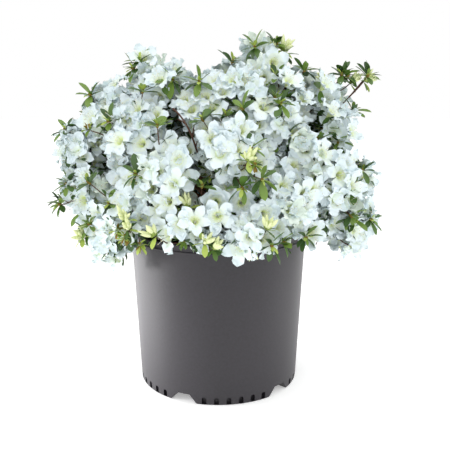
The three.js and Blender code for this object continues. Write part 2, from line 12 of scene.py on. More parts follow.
import bmesh
import bpy
import numpy as np
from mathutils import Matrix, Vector

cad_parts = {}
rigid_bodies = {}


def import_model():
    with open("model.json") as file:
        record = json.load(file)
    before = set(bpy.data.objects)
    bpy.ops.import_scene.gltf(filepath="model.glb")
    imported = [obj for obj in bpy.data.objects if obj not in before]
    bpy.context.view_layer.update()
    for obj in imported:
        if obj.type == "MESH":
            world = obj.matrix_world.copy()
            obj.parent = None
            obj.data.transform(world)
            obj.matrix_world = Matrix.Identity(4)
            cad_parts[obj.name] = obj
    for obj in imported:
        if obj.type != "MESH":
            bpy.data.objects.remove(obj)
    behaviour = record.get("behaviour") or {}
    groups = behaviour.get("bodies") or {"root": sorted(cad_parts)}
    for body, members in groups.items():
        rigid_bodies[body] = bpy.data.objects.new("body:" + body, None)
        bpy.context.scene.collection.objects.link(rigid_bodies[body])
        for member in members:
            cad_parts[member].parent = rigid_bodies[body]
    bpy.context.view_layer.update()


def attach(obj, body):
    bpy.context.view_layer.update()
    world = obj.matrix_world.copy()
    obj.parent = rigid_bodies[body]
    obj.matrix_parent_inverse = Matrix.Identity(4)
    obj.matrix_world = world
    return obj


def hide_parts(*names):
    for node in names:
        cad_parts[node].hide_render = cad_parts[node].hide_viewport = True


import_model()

MM = 0.001
FULL_TURN = 2 * math.pi
UP = np.array([0.0, 0.0, 1.0])

# Camera, fitted to the pot's rim and foot in the photo
CAMERA_PLACE = (0.0, -1026.0, 462.0)
CAMERA_PITCH = 11.77
CAMERA_YAW = 0.58
FOCAL_PIXELS = 654.7
PHOTO_PIXELS = 450
SENSOR_WIDTH = 36.0

# Pot
POT_HEIGHT = 247.0
POT_FOOT_RADIUS = 127.0
POT_RIDGE_RADIUS = 139.5
POT_RIDGE_HEIGHT = 235.0
POT_WALL = 2.5
POT_FLOOR = 3.0
POT_EDGE_ROUND = 2.5
POT_SIDES = 192
BEAD_PROUD = 1.4
BEAD_HALF = 2.2
BEAD_ROUND = 0.8 * BEAD_HALF
LIP_HEIGHT = 4.0
FEET = 5
FIRST_NOTCH_BEARING = -25.0
NOTCH_HEIGHT = 14.5
NOTCH_TOP_WIDTH = 24.0
NOTCH_FOOT_WIDTH = 49.0
NOTCH_DEPTH = 30.0
NOTCH_ROUND = 2.5
FLUTES_PER_FOOT = 6
FLUTE_STEP = 8.4
FLUTE_HALF_WIDTH = 3.6
FLUTE_DEPTH = 7.0
FLUTE_HEIGHT = 12.5
FLUTE_LIP = 1.2
FOOT_WALL = 9.0
FOOT_WALL_HEIGHT = 20.0
CUT_PAST = 20.0
LINER_GROWN = 1.12
LINER_FOOT = 0.5
SHARP_EDGE = 32

# Soil
SOIL_LEVEL = 222.0
SOIL_RINGS = 24
SOIL_SIDES = 96
SOIL_ROUGH = 2.2
SOIL_SEED = 31
CHIPS = 900
CHIP_SIZES = (3.0, 9.0)
CHIP_WIDTHS = (0.15, 0.35)
CHIP_HEIGHTS = (0.1, 0.22)
CHIP_UNEVEN = 0.35
CHIPS_INSIDE = 6
DARK_CHIPS = 0.6

# Trunk. A limb's two radii are those of its foot and its end.
TRUNK_HEIGHT = 78.0
TRUNK_RADII = (11.0, 7.5)
TRUNK_FLARE = 7.0
TRUNK_ROOTS = 5
TRUNK_FLARE_FADE = 5
TRUNK_LEAN = np.array([7.0, -5.0, 0.0])
TRUNK_RINGS = 36
TRUNK_SIDES = 40
RINGS_LOW = 1.4
CLEAR = 0.3
TIP_ROUND = 0.6

# Boughs: how high they leave the trunk, and how they arch and wander, as shares of their span
BOUGH_RADII = (4.6, 2.3)
BOUGH_RISES = (0.22, 0.97)
BOUGH_RINGS = 30
BOUGH_SIDES = 12
KNEE_PLACE = 0.4
KNEE_RISE = 0.16
BEND_SHARE = 2 / 3
BOUGH_CROOK = 14.0
BOUGH_SEED = 500
TRUNK_BARK_SEED = 61
BOUGH_BARK_SEED = 900

# Stems: a mass's first one goes on from its bough's tip, and the others fork off further back
STEM_RADII = (2.3, 1.3)
SPRIG_STEM_RADII = (1.2, 0.8)
STEM_BEND = 0.35
FIRST_FORK = 0.86
FORK_STEP = 0.14

# Shoots, which leave the end of a stem one after the other and spread in a spiral
SHOOTS_SPREAD = 40.0
MOST_OF_STEM = 0.7
SHOOT_RADII = (1.1, 0.75)
SHOOT_BEND = 0.45
WIDEST_SHOOT = 2.2
WIDEST_SPRIG_SHOOT = 1.2
GOLDEN_TURN = 2.4
SPIRAL_START = 0.4
TILT_UNEVEN = 0.2
TURN_UNEVEN = 0.3
OUTWARD_LEAN = 0.3
UPWARD_LEAN = 0.2
SCALES = (0.9, 1.1)
MASS_SEED = 1000
SEED_STEP = 37

# Blossom, buds and leaves
FLOWER_RADIUS = 30.0
FLOWER_DEPTH = 25.0
MOUTH_INSET = 0.3
MOUTH_PLACE = 0.7
COLLAR = 1.6
BUD_LENGTH = 17.0
BUD_WIDTH = 7.0
TIP_BUD_LENGTH = 8.5
TIP_BUD_WIDTH = 4.48

# The middle of the crown, which its blossom faces away from
HEART = np.array([0.0, 0.0, 290.0])

# How far in from a mass's centre its stem and its bough end, as shares of its radius
HUB_INSET = 0.3
BOUGH_INSET = 0.95

# Foliage masses: [bearing, reach from the axis, height, radius, flowers, leafy whorls, bud clusters]
FRONT_MASSES = {
    "left_hanging": [-55, 186, 260, 48, 7, 1, 1],
    "front_centre_low": [-11, 178, 286, 46, 6, 0, 1],
    "front_low": [13, 184, 266, 48, 7, 0, 1],
    "right_lower": [72, 202, 263, 54, 8, 0, 0],
    "right_edge": [82, 224, 332, 32, 3, 1, 0],
    "left_lower": [-77, 200, 312, 52, 8, 0, 0],
    "left_low_middle": [-42, 174, 298, 48, 7, 0, 1],
    "front_right": [33, 178, 290, 50, 6, 1, 0],
    "left_side": [-82, 206, 374, 52, 8, 0, 0],
    "front_left": [-27, 166, 342, 52, 8, 0, 0],
    "right_front": [56, 186, 334, 54, 7, 1, 0],
    "inner_right": [38, 112, 352, 48, 6, 0, 0],
    "left_front": [-52, 150, 400, 52, 8, 0, 0],
    "centre": [7, 134, 378, 54, 7, 1, 0],
    "right_outer": [79, 180, 402, 50, 7, 1, 0],
    "centre_right": [42, 110, 424, 48, 7, 0, 0],
    "upper_left": [-84, 166, 431, 50, 8, 0, 0],
    "top_left": [-60, 94, 466, 50, 8, 0, 0],
    "top_middle": [-14, 64, 446, 50, 7, 1, 0],
    "right_upper": [86, 164, 450, 46, 6, 0, 0],
    "right_inner": [64, 106, 464, 44, 6, 0, 0],
    "peak": [84, 72, 501, 50, 8, 0, 0],
    "inner_left": [-40, 70, 380, 44, 4, 0, 0],
}

# Rings of masses round the back: [name, count, first bearing, last bearing, reach, height, radius]
BACK_RINGS = [
    ["back_low", 5, 106, 254, 192, 288, 54],
    ["back_middle", 4, 112, 248, 172, 378, 54],
    ["back_top", 3, 128, 232, 92, 448, 54],
]
BACK_FLOWERS = 7
RING_UNEVEN = 12.0
RING_TURN = 2.4

# Sprigs that stand out of the crown: [bearing, reach, height, radius, flowers, whorls, bud clusters]
SPRIGS = {
    "sprig_far_left": [-80, 238, 292, 24, 1, 2, 0],
    "sprig_top_left": [-72, 120, 494, 26, 1, 3, 0],
    "sprig_peak": [88, 84, 524, 20, 0, 2, 1],
    "sprig_top_right": [86, 224, 478, 22, 1, 2, 0],
    "sprig_top_right_inner": [84, 186, 478, 22, 0, 3, 0],
    "sprig_bud_left": [-62, 212, 262, 20, 0, 1, 2],
}

# Boughs, from the lowest on the trunk to the highest: [lead mass, other masses and sprigs it carries]
BOUGHS = {
    "bough_front": ["front_low", "front_centre_low"],
    "bough_left_low": ["left_hanging", "left_low_middle", "sprig_bud_left"],
    "bough_right_low": ["right_lower", "right_edge"],
    "bough_back_low_left": ["back_low_4", "back_low_5", "back_low_3"],
    "bough_back_low_right": ["back_low_1", "back_low_2"],
    "bough_front_right": ["right_front", "front_right", "inner_right"],
    "bough_left": ["left_side", "left_lower", "sprig_far_left"],
    "bough_right": ["right_outer", "right_upper", "sprig_top_right", "sprig_top_right_inner", "right_inner"],
    "bough_back_left": ["back_middle_4", "back_middle_3"],
    "bough_back_right": ["back_middle_1", "back_middle_2"],
    "bough_front_left": ["left_front", "front_left"],
    "bough_centre": ["centre", "centre_right"],
    "bough_upper_left": ["upper_left", "back_top_3"],
    "bough_top_left": ["top_left", "top_middle", "sprig_top_left", "inner_left"],
    "bough_peak": ["peak", "back_top_1", "back_top_2", "sprig_peak"],
}

# Leafy tips, buds and flowers placed from the photo: [kind, (bearing, reach, height) of each]
TIPS = [
    # over the rim
    ["buds", (-35, 210, 279), (-37, 208, 290), (-24, 204, 272)],
    ["scales", (-36, 212, 268), (-31, 204, 259), (-39, 210, 276)],
    ["buds", (-5, 200, 266), (-2, 196, 257), (-60, 224, 254)],
    ["buds", (-13, 180, 308), (17, 212, 284), (11, 196, 372)],
    ["scales", (13, 198, 366)],
    ["whorl", (-7, 180, 334), (16, 196, 348), (-54, 218, 333)],
    ["scales", (-58, 208, 405)],
    # the right, the rim and the top
    ["whorl", (57, 220, 288), (61, 220, 278), (76, 222, 341), (70, 186, 386), (84, 204, 427)],
    ["whorl", (24, 202, 262), (-13, 188, 268), (-46, 146, 455), (20, 56, 497), (76, 130, 486)],
    ["buds", (84, 97, 519)],
    ["whorl", (84, 98, 511)],
    ["flower", (83, 63, 515), (69, 56, 492), (92, 74, 506), (65, 87, 498)],
    # the middle, and round the bare stem
    ["whorl", (5, 132, 423), (16, 126, 433), (9, 190, 338), (55, 172, 389), (40, 122, 446)],
    ["whorl", (-27, 176, 411), (-8, 138, 418), (53, 104, 477), (56, 118, 448)],
    # the top right, and flowers in gaps
    ["buds", (85, 200, 470), (83, 166, 470)],
    ["flower", (-71, 119, 497), (-18, 181, 274), (43, 150, 398), (49, 160, 382)],
    ["flower", (38, 66, 470), (20, 78, 466), (50, 84, 480), (32, 96, 452)],
]
TIP_PLACES = [(kind, place) for kind, *places in TIPS for place in places]
TIP_LEANS = {"buds": np.array([0.0, -0.2, 1.4]), "flower": np.array([0.0, -0.7, 0.3])}
OTHER_LEAN = np.array([0.0, 0.0, 0.3])

# How far over a tip the room before it lies, and its radius, and how far out it lies
TIP_ROOM = {"buds": (9, 20), "leaves": (0, 15)}
ROOM_BEFORE = 8

# The bare stem that shows before the blossom: [bearing, reach, height] of its foot, its bends and its tip
BARE_STEM = [[-10, 60, 318], [-14, 128, 352], [-8, 166, 405], [-24, 148, 436]]
BARE_STEM_MASS = "top_middle"
BARE_STEM_RADII = (1.8, 1.1)
BARE_TWIG_RADII = (1.1, 0.6)
BARE_TWIG_PLACES = (0.35, 0.95)
BARE_TWIG_TILT = 0.7
BARE_TWIG_LENGTHS = (12, 26)
BARE_TWIG_ARCH = 2
BARE_TWIGS = 5

# Places in the crown that stay open: [bearing, reach, height, radius]
OPEN_PLACES = [
    # before the bare stem
    [-20, 159, 424, 22], [-16, 166, 409, 22], [-13, 164, 388, 22], [-12, 153, 368, 20],
    # gaps in the blossom
    [-15, 176, 326, 23], [-3, 158, 327, 20], [24, 164, 325, 16], [-63, 138, 450, 19],
    [-86, 132, 462, 24], [-104, 142, 462, 26], [-120, 168, 462, 28],
    # round the bare twigs at the top right
    [84, 208, 457, 38], [87, 200, 470, 26], [83, 176, 476, 24],
    # beyond the outline on the right and the left
    [83, 240, 400, 45], [80, 244, 367, 26], [80, 196, 368, 18], [78, 262, 290, 38],
    [79, 262, 262, 40], [-76, 222, 262, 33], [-81, 264, 320, 42], [-81, 266, 348, 34],
    # under the crown
    [-18, 196, 226, 50], [-42, 182, 230, 32], [-47, 158, 218, 24], [4, 212, 211, 50],
    [16, 212, 213, 50], [30, 200, 218, 50], [9, 252, 224, 44], [9, 170, 210, 36],
    [50, 188, 221, 46], [66, 160, 212, 40], [62, 190, 224, 36], [88, 175, 200, 44],
    # over the crown
    [-58, 112, 544, 58], [-24, 66, 524, 58], [-107, 100, 546, 58], [-150, 60, 528, 58],
    [-144, 136, 552, 60], [180, 110, 546, 60], [14, 21, 545, 40], [71, 130, 530, 55],
    [86, 164, 526, 55], [113, 130, 544, 58],
]
OPEN_SPRIG = "sprig_top_right"

# What the finer growth adds to the rule: flowers between the first ones, and how near two may be
LOOK_OUT = 0.45
HIGH_MASS = 400
FLOWER_SPACING = 19.0
CROWDED_SINK = 12.0
TRUSS_FLOWERS = 3
TRUSS_TILTS = (0.6, 0.9)
TRUSS_UNEVEN = 0.3
TRUSS_STALK = 5.0
TRUSS_SPACING = 14.5
TRUSS_SEED = 9000
FINE_SCALES = (0.82, 1.02)
INFILL_SHARE = 1.2
INFILL_SHARE_HIGH = 2.6
INFILL_START = 0.8
INFILL_UNEVEN = 0.3
INFILL_OUTWARD = 0.4
INFILL_UPWARD = 0.3
INFILL_SCALES = (0.85, 1.05)
INFILL_SINK = 12.0
INFILL_SPACING = 15.5
INFILL_SEED = 5000
WHORL_EVERY = 6
TIP_SEED = 3000
ENVELOPE_DIRECTIONS = 1400
ENVELOPE_RISES = (1, -0.55)
ENVELOPE_UNEVEN = 0.1
ENVELOPE_GROWN = (2.0, 16.0)
ENVELOPE_SINK = 20.0
ENVELOPE_TOSS = 40
ENVELOPE_DEPTH = 0.4
ENVELOPE_SPACING = 18.5
ENVELOPE_SEED = 7000

# Twigs inside the crown: their places on a stem, tilts, and reaches as shares of the mass's radius
INNER_TWIGS = 8
INNER_TWIG_PLACES = (0.45, 1.0)
INNER_TWIG_TILTS = (0.6, 2.6)
INNER_TWIG_REACHES = (0.45, 0.75)
INNER_TWIG_ARCH = 4

# Single leaves on a shoot, a stem and an inner twig: [count, places along it, tilts, sizes]
SHOOT_LEAVES = [2, (0.35, 0.85), (0.9, 1.4), (16, 28)]
STEM_LEAVES = [12, (0.3, 1.0), (0.8, 1.4), (22, 34)]
INNER_LEAVES = [7, (0.35, 1.0), (0.7, 1.3), (19, 31)]
SISTER_LEAF_SHARE = 0.35
SISTER_LEAF_TILTS = (1.5, 1.9)
SISTER_LEAF_SIZES = (16, 26)
CROWN_SEED = 4242
BARE_STEM_SEED = 11000

# Studio: the glow of its floor, and its lamps as [name, place, aim, size, power, spread]
FLOOR_SIZE = 9000
FLOOR_COLOR = (0.98, 0.98, 0.98, 1)
FLOOR_GLOW = 0.34
SKY_LIGHT = 1.0
WHITE = (1.0, 1.0, 1.0, 1)
LAMPS = [
    ["front_fill", (-0.3, -2.0, 1.0), (0, 0, 0.35), (1.6, 1.2), 1.7, 180],
    ["top", (0.0, -0.3, 1.9), (0, 0, 0.4), (1.2, 1.2), 4.2, 180],
    ["left_back", (-0.85, 0.6, 0.12), (0, 0, 0.08), (0.6, 0.22), 0.9, 24],
    ["left_side", (-1.0, 0.0, 0.12), (0, 0, 0.08), (0.8, 0.22), 1.15, 24],
    ["right_fill", (1.0, -1.2, 1.1), (0.1, 0, 0.15), (1.0, 1.0), 1, 180],
    ["right_back", (0.7, 0.8, 0.12), (0, 0, 0.08), (0.5, 0.22), 0.18, 24],
    ["right_side", (1.0, 0.0, 0.12), (0, 0, 0.08), (0.8, 0.22), 0.2, 24],
]


# Vectors and curves

def mix(ends, share):
    """A value between two ends."""
    return ends[0] + (ends[1] - ends[0]) * share


def unit(vector):
    return vector / np.linalg.norm(vector)


def on_ring(bearing, reach, height):
    angle = math.radians(bearing)
    return np.array([reach * math.sin(angle), -reach * math.cos(angle), height])


def square_to(axis, hint):
    """Two directions square to an axis and to each other, the first as near as it can be to a hint."""
    side = unit(hint - hint.dot(axis) * axis)
    return side, np.cross(axis, side)


def across(axis):
    """A nearly level direction across an axis."""
    if axis[0] == 0 and axis[1] == 0:
        return np.array([1.0, 0.0, 0.0])
    return unit(np.array([axis[1], -axis[0], 0.01]))


def tilted(axis, tilt, turn):
    """A direction at an angle to an axis, at a turn round it."""
    side, level = square_to(axis, across(axis))
    sideways = side * math.cos(turn) + level * math.sin(turn)
    return axis * math.cos(tilt) + sideways * math.sin(tilt)


def bezier(points, along):
    """A point on a Bezier curve of any degree."""
    level = list(points)
    while len(level) > 1:
        level = [a * (1 - along) + b * along for a, b in zip(level, level[1:])]
    return level[0]


def heading(points, along):
    """The direction of a Bezier curve at a point."""
    legs = [b - a for a, b in zip(points, points[1:])]
    return unit(bezier(legs, along))


def seeded(seed):
    """A repeatable row of numbers from 0 to 1."""
    state = seed

    def draw():
        nonlocal state
        state = (state * 1664525 + 1013904223) % 2 ** 32
        return state / 2 ** 32
    return draw


# Joined pieces: corners, three-cornered faces and the material of each face

class Pile:
    """Shapes gathered for one joined piece."""

    def __init__(self):
        self.points = []
        self.faces = []
        self.zones = []
        self.count = 0

    def add(self, points, faces, zones):
        self.points.append(points)
        self.faces.append(faces + self.count)
        self.zones.append(np.broadcast_to(zones, len(faces)))
        self.count += len(points)

    def joined(self):
        return [np.concatenate(rows) for rows in (self.points, self.faces, self.zones)]

    def piece(self, name, finishes):
        points, faces, zones = self.joined()
        mesh = new_mesh(name, points, faces.tolist())
        mesh.polygons.foreach_set("material_index", zones.astype(np.int32))
        mesh.shade_smooth()
        mesh.validate()
        for finish in finishes:
            mesh.materials.append(finish)
        return in_scene(name, mesh)


def in_scene(name, data):
    """A new object in the scene, made of a mesh, a lamp or a camera."""
    added = bpy.data.objects.new(name, data)
    bpy.context.scene.collection.objects.link(added)
    return added


def new_mesh(name, points, faces):
    mesh = bpy.data.meshes.new(name)
    mesh.from_pydata(np.array(points) * MM, [], faces)
    return mesh


def grid_faces(rows, columns, closed=False):
    """The faces of a grid of corners, closed into a tube if each row is a ring."""
    faces = []
    spans = columns if closed else columns - 1
    for row in range(rows - 1):
        for column in range(spans):
            a = row * columns + column
            b = row * columns + (column + 1) % columns
            faces.append((a, b, b + columns))
            faces.append((a, b + columns, a + columns))
    return np.array(faces)


def tube(curve, radii, sides, relief=None):
    """A limb along a list of centres, rounded off at its end. Each ring follows on from the last."""
    rows = len(curve)
    angles = FULL_TURN * np.arange(sides) / sides
    points = []
    hint = None
    for row in range(rows):
        step = curve[min(row + 1, rows - 1)] - curve[max(row - 1, 0)]
        axis = unit(step)
        side, level = square_to(axis, across(axis) if hint is None else hint)
        hint = side
        reach = np.full(sides, radii[row])
        if relief is not None:
            reach = reach * relief(row, angles)
        ring = np.outer(reach * np.cos(angles), side) + np.outer(reach * np.sin(angles), level)
        points.append(curve[row] + ring)
    tip = np.array([curve[-1] + unit(curve[-1] - curve[-2]) * radii[-1] * TIP_ROUND])
    faces = grid_faces(rows, sides, closed=True)
    last = (rows - 1) * sides
    cap = [(last + i, last + (i + 1) % sides, rows * sides) for i in range(sides)]
    return np.concatenate(points + [tip]), np.concatenate([faces, np.array(cap)])


# The growth rule

class Mass:
    """A foliage mass or sprig: its place, its size and its share of flowers, whorls and buds."""

    def __init__(self, name, index, sizes):
        bearing, reach, height, self.radius, self.flowers, self.whorls, self.buds = sizes
        self.name = name
        self.index = index
        self.centre = on_ring(bearing, reach, height)
        self.outward = unit(self.centre - HEART)
        self.is_sprig = name in SPRIGS

    def inset(self, share):
        """A place on the line from the middle of the crown, short of the mass's centre."""
        return self.centre - self.outward * share * self.radius


def back_masses():
    found = {}
    for name, count, first, last, reach, height, radius in BACK_RINGS:
        for i in range(count):
            uneven = RING_UNEVEN * math.sin(RING_TURN * i + height)
            bearing = first + (last - first) * i / (count - 1)
            sizes = [bearing, reach + uneven, height - uneven, radius, BACK_FLOWERS, i % 2, 0]
            found[f"{name}_{i + 1}"] = sizes
    return found


def all_masses():
    sizes = {**FRONT_MASSES, **back_masses(), **SPRIGS}
    return {name: Mass(name, index, row) for index, (name, row) in enumerate(sizes.items())}


TRUNK_FOOT = np.array([0.0, 0.0, SOIL_LEVEL + CLEAR])
TRUNK_TOP = TRUNK_LEAN + UP * (SOIL_LEVEL + TRUNK_HEIGHT)


def bough_curve(index, lead):
    """A bough leaves the trunk at its own height, arches out and ends where it enters its mass."""
    draw = seeded(BOUGH_SEED + index)
    start = mix((TRUNK_FOOT, TRUNK_TOP), mix(BOUGH_RISES, index / (len(BOUGHS) - 1)))
    tip = lead.inset(BOUGH_INSET)
    knee = mix((start, tip), KNEE_PLACE)
    knee[2] += KNEE_RISE * np.linalg.norm(tip - start)
    bends = []
    for end in (start, tip):
        crook = np.array([draw() - 0.5, draw() - 0.5, draw() - 0.5])
        bends.append(end + (knee - end) * BEND_SHARE + crook * BOUGH_CROOK)
    return [start, *bends, tip]


def bough_curves(masses):
    return [bough_curve(index, masses[carried[0]]) for index, carried in enumerate(BOUGHS.values())]


def stem_curve(bough, order, mass):
    along = 1 if order == 0 else FIRST_FORK - FORK_STEP * (order - 1)
    start = bezier(bough, along)
    hub = mass.inset(HUB_INSET)
    bend = start + heading(bough, along) * STEM_BEND * np.linalg.norm(hub - start)
    return [start, bend, hub]


class Shoot:
    """One shoot, with what it ends in and where."""

    def __init__(self, mass, kind, share, direction, facing, scale, spin):
        self.mass = mass
        self.kind = kind
        self.share = share
        self.facing = facing
        self.scale = scale
        self.spin = spin
        length = {"flower": FLOWER_DEPTH, "buds": BUD_LENGTH}.get(kind, TIP_BUD_LENGTH)
        mouth = mass.centre + direction * (mass.radius - MOUTH_INSET * FLOWER_RADIUS)
        self.tip = mouth - facing * length * scale

    def mouth(self):
        return self.tip + self.facing * FLOWER_DEPTH * self.scale * MOUTH_PLACE

    def sink(self, depth):
        self.tip = self.tip - self.facing * depth

    def sister(self, facing, scale, spin):
        """Another flower of the same truss, on its own stalk from the same place."""
        other = copy.copy(self)
        other.kind = "sister"
        other.tip = self.tip + (facing - self.facing) * TRUSS_STALK
        other.facing, other.scale, other.spin = facing, scale, spin
        other.parent = self
        return other


def planned_shoots(mass):
    """The source's shoots, spread over the side of the mass that faces out of the crown."""
    draw = seeded(MASS_SEED + SEED_STEP * mass.index)
    others = ["whorl"] * mass.whorls + ["buds"] * mass.buds
    total = mass.flowers + len(others)
    offset = draw() * FULL_TURN
    spread = WIDEST_SPRIG_SHOOT if mass.is_sprig else WIDEST_SHOOT
    for rank in range(total):
        dealt = rank * len(others) // total
        kind = others[dealt] if (rank + 1) * len(others) // total > dealt else "flower"
        tilt = spread * math.sqrt((rank + SPIRAL_START) / total) + (draw() - 0.5) * TILT_UNEVEN
        turn = offset + rank * GOLDEN_TURN + (draw() - 0.5) * TURN_UNEVEN
        direction = tilted(mass.outward, tilt, turn)
        if kind == "flower" and mass.name == OPEN_SPRIG:
            kind = "buds"
        facing = unit(direction + OUTWARD_LEAN * mass.outward + UPWARD_LEAN * UP)
        scale = mix(SCALES, draw())
        spin = draw() * FULL_TURN
        draw()
        yield Shoot(mass, kind, rank / total, direction, facing, scale, spin)


def looking_out(facing, place):
    """A direction turned a little to the front, or on the far side of the crown to the back."""
    return unit(facing + LOOK_OUT * np.array([0.0, 1.0 if place[1] > 0 else -1.0, 0.0]))


def infill_shoots(mass):
    """Flowers and leafy whorls between the planned shoots and a little behind."""
    draw = seeded(INFILL_SEED + SEED_STEP * mass.index)
    is_high = mass.centre[2] >= HIGH_MASS
    total = round(mass.flowers * (INFILL_SHARE_HIGH if is_high else INFILL_SHARE))
    lean = 0 if is_high else INFILL_OUTWARD * mass.outward + INFILL_UPWARD * UP
    for rank in range(total):
        kind = "whorl" if rank % WHORL_EVERY == 0 else "flower"
        tilt = WIDEST_SHOOT * math.sqrt((rank + INFILL_START) / total) + (draw() - 0.5) * INFILL_UNEVEN
        direction = tilted(mass.outward, tilt, draw() * FULL_TURN + rank * GOLDEN_TURN)
        facing = looking_out(unit(direction + lean), mass.centre)
        scale = mix(INFILL_SCALES, draw())
        shoot = Shoot(mass, kind, rank / total, direction, facing, scale, draw() * FULL_TURN)
        if kind == "flower":
            shoot.sink(INFILL_SINK)
        yield shoot


def tip_shoots(masses):
    """The tips placed from the photo, each of them on the mass whose middle is nearest."""
    draw = seeded(TIP_SEED)
    for kind, ring_place in TIP_PLACES:
        place = on_ring(*ring_place)
        nearest = min(masses.values(), key=lambda mass: np.linalg.norm(mass.centre - place))
        facing = unit(unit(place - nearest.centre) + TIP_LEANS.get(kind, OTHER_LEAN))
        shoot = Shoot(nearest, kind, 0.5, facing, facing, mix(SCALES, draw()), draw() * FULL_TURN)
        shoot.tip = place
        yield shoot


def envelope_shoots(masses):
    """Flowers that close the gaps between neighbouring masses, most of all round the back."""
    draw = seeded(ENVELOPE_SEED)
    full = [mass for mass in masses.values() if not mass.is_sprig]
    for rank in range(ENVELOPE_DIRECTIONS):
        rise = mix(ENVELOPE_RISES, (rank + 0.5) / ENVELOPE_DIRECTIONS)
        turn = rank * GOLDEN_TURN + ENVELOPE_UNEVEN * draw()
        level = math.sqrt(1 - rise ** 2)
        direction = np.array([level * math.sin(turn), level * math.cos(turn), rise])
        grown = mix(ENVELOPE_GROWN, min(max(0.5 + direction[1], 0), 1))
        farthest, nearest = 0, None
        for mass in full:
            offset = mass.centre - HEART
            middle = offset.dot(direction)
            room = (mass.radius + grown) ** 2 - offset.dot(offset) + middle ** 2
            if middle > 0 and room > 0 and middle + math.sqrt(room) > farthest:
                farthest, nearest = middle + math.sqrt(room), mass
        scale = mix(FINE_SCALES, draw())
        spin = draw() * FULL_TURN
        if nearest is None:
            continue
        place = HEART + direction * (farthest - grown - ENVELOPE_SINK)
        toss = np.array([draw() - 0.5, draw() - 0.5, draw()])
        facing = looking_out(unit(place - HEART + ENVELOPE_TOSS * toss), place)
        shoot = Shoot(nearest, "flower", 0.5, direction, facing, scale, spin)
        shoot.tip = place - facing * FLOWER_DEPTH * ENVELOPE_DEPTH
        yield shoot


def sister_shoots(shoots):
    """The other flowers of each truss, which look past the first one on all sides."""
    draw = seeded(TRUSS_SEED)
    for shoot in shoots:
        if shoot.kind != "flower":
            continue
        offset = draw() * FULL_TURN
        for i in range(TRUSS_FLOWERS):
            tilt = mix(TRUSS_TILTS, draw())
            turn = offset + FULL_TURN * (i + TRUSS_UNEVEN * draw()) / TRUSS_FLOWERS
            facing = looking_out(tilted(shoot.facing, tilt, turn), shoot.mass.centre)
            yield shoot.sister(facing, mix(FINE_SCALES, draw()), draw() * FULL_TURN)


def open_places():
    """The centres and radii of the open places, with one before each bud cluster and leafy tip."""
    places = list(OPEN_PLACES)
    for kind, (bearing, reach, height) in TIP_PLACES:
        if kind != "flower":
            rise, radius = TIP_ROOM["buds" if kind == "buds" else "leaves"]
            places.append([bearing, reach + ROOM_BEFORE, height + rise, radius])
    return np.array([on_ring(*place[:3]) for place in places]), np.array([place[3] for place in places])


OPEN_CENTRES, OPEN_RADII = open_places()


def in_open_place(point):
    return (np.linalg.norm(OPEN_CENTRES - point, axis=1) < OPEN_RADII).any()


def spaced(shoots, kept, spacing, sinks, anywhere=False):
    """The shoots whose flowers keep their distance: a crowded one is sunk, or else left out."""
    mouths = [shoot.mouth() for shoot in kept]
    for shoot in shoots:
        is_flower = shoot.kind in ("flower", "sister")
        for sink in sinks if is_flower else (0.0,):
            shoot.sink(sink)
            mouth = shoot.mouth()
            crowded = bool(mouths) and np.linalg.norm(np.array(mouths) - mouth, axis=1).min() < spacing
            free = anywhere or not in_open_place(mouth) or (shoot.mass.is_sprig and not is_flower)
            if free and not (is_flower and crowded):
                kept.append(shoot)
                mouths.append(mouth)
                break
    return kept


# Flowers

PETAL, PALE, CREAM, THROAT, FILAMENT, ANTHER = range(6)
ZONE_ENDS = {PALE: 0.56, CREAM: 0.43, THROAT: 0.31}
LOBES = 5

# Places along a lobe, from the neck to its tip, and its half width and its angle to the axis there
LOBE_ROWS = np.array([0, 0.16, 0.32, 0.43, 0.54, 0.64, 0.73, 0.82, 0.91, 1])
LOBE_COLUMNS = np.linspace(-1, 1, 5)
LOBE_LENGTH = 34.0
LOBE_LENGTHS = (0.94, 1.04)
NECK_RADIUS = 1.4
WIDTH_PLACES = [0, 0.15, 0.3, 0.38, 0.46, 0.54, 0.62, 0.7, 0.78, 0.86, 0.93, 1]
HALF_WIDTHS = [1.3, 2.1, 3.4, 4.6, 5.8, 7.2, 8.4, 8.9, 8.3, 6.6, 4.2, 0.5]
ANGLE_PLACES = [0, 0.28, 0.42, 0.6, 0.8, 1]
FUNNEL_ANGLES = [14, 24, 44]
ANGLE_UNEVEN = 26
RECURVES = (-4, 34)
LIMB_START = 0.36
LIMB_SPAN = 0.3
LOBE_LEAN = 0.16
LOBE_UNEVEN = 0.14
CUPS = (-2.25, 2.75)
RUFFLES = (1.7, 3.7)
WAVES = (2.4, 3.6)
TWIST = 3.0
RIB_DEPTH = 1.5
RIB_WIDTH = 0.3

# A lobe is bent round the funnel where that is narrow, and flat beyond it
ROUND_RADIUS = 5
FLATTENING = 9

# Stamens, with three-sided filaments, and the style, which is the longest
STAMENS = 5
STAMEN_LENGTHS = (22, 28)
STAMEN_LEANS = (0.7, 1.3)
STAMEN_SPREADS = (0.12, 0.28)
STAMEN_UNEVEN = 0.4
STAMEN_FOOT = (0.8, 3)
STAMEN_BEND = 0.6
STYLE_LENGTH = 31
FILAMENT_RADII = [0.38, 0.32, 0.26]
ANTHER_SIZE = 0.6
ANTHER_POINTS = np.array([[1, 0, 0], [-1, 0, 0], [0, 1, 0], [0, -1, 0], [0, 0, 1.5], [0, 0, -1.5]])
ANTHER_FACES = np.array([(0, 2, 4), (2, 1, 4), (1, 3, 4), (3, 0, 4),
                         (2, 0, 5), (1, 2, 5), (3, 1, 5), (0, 3, 5)])

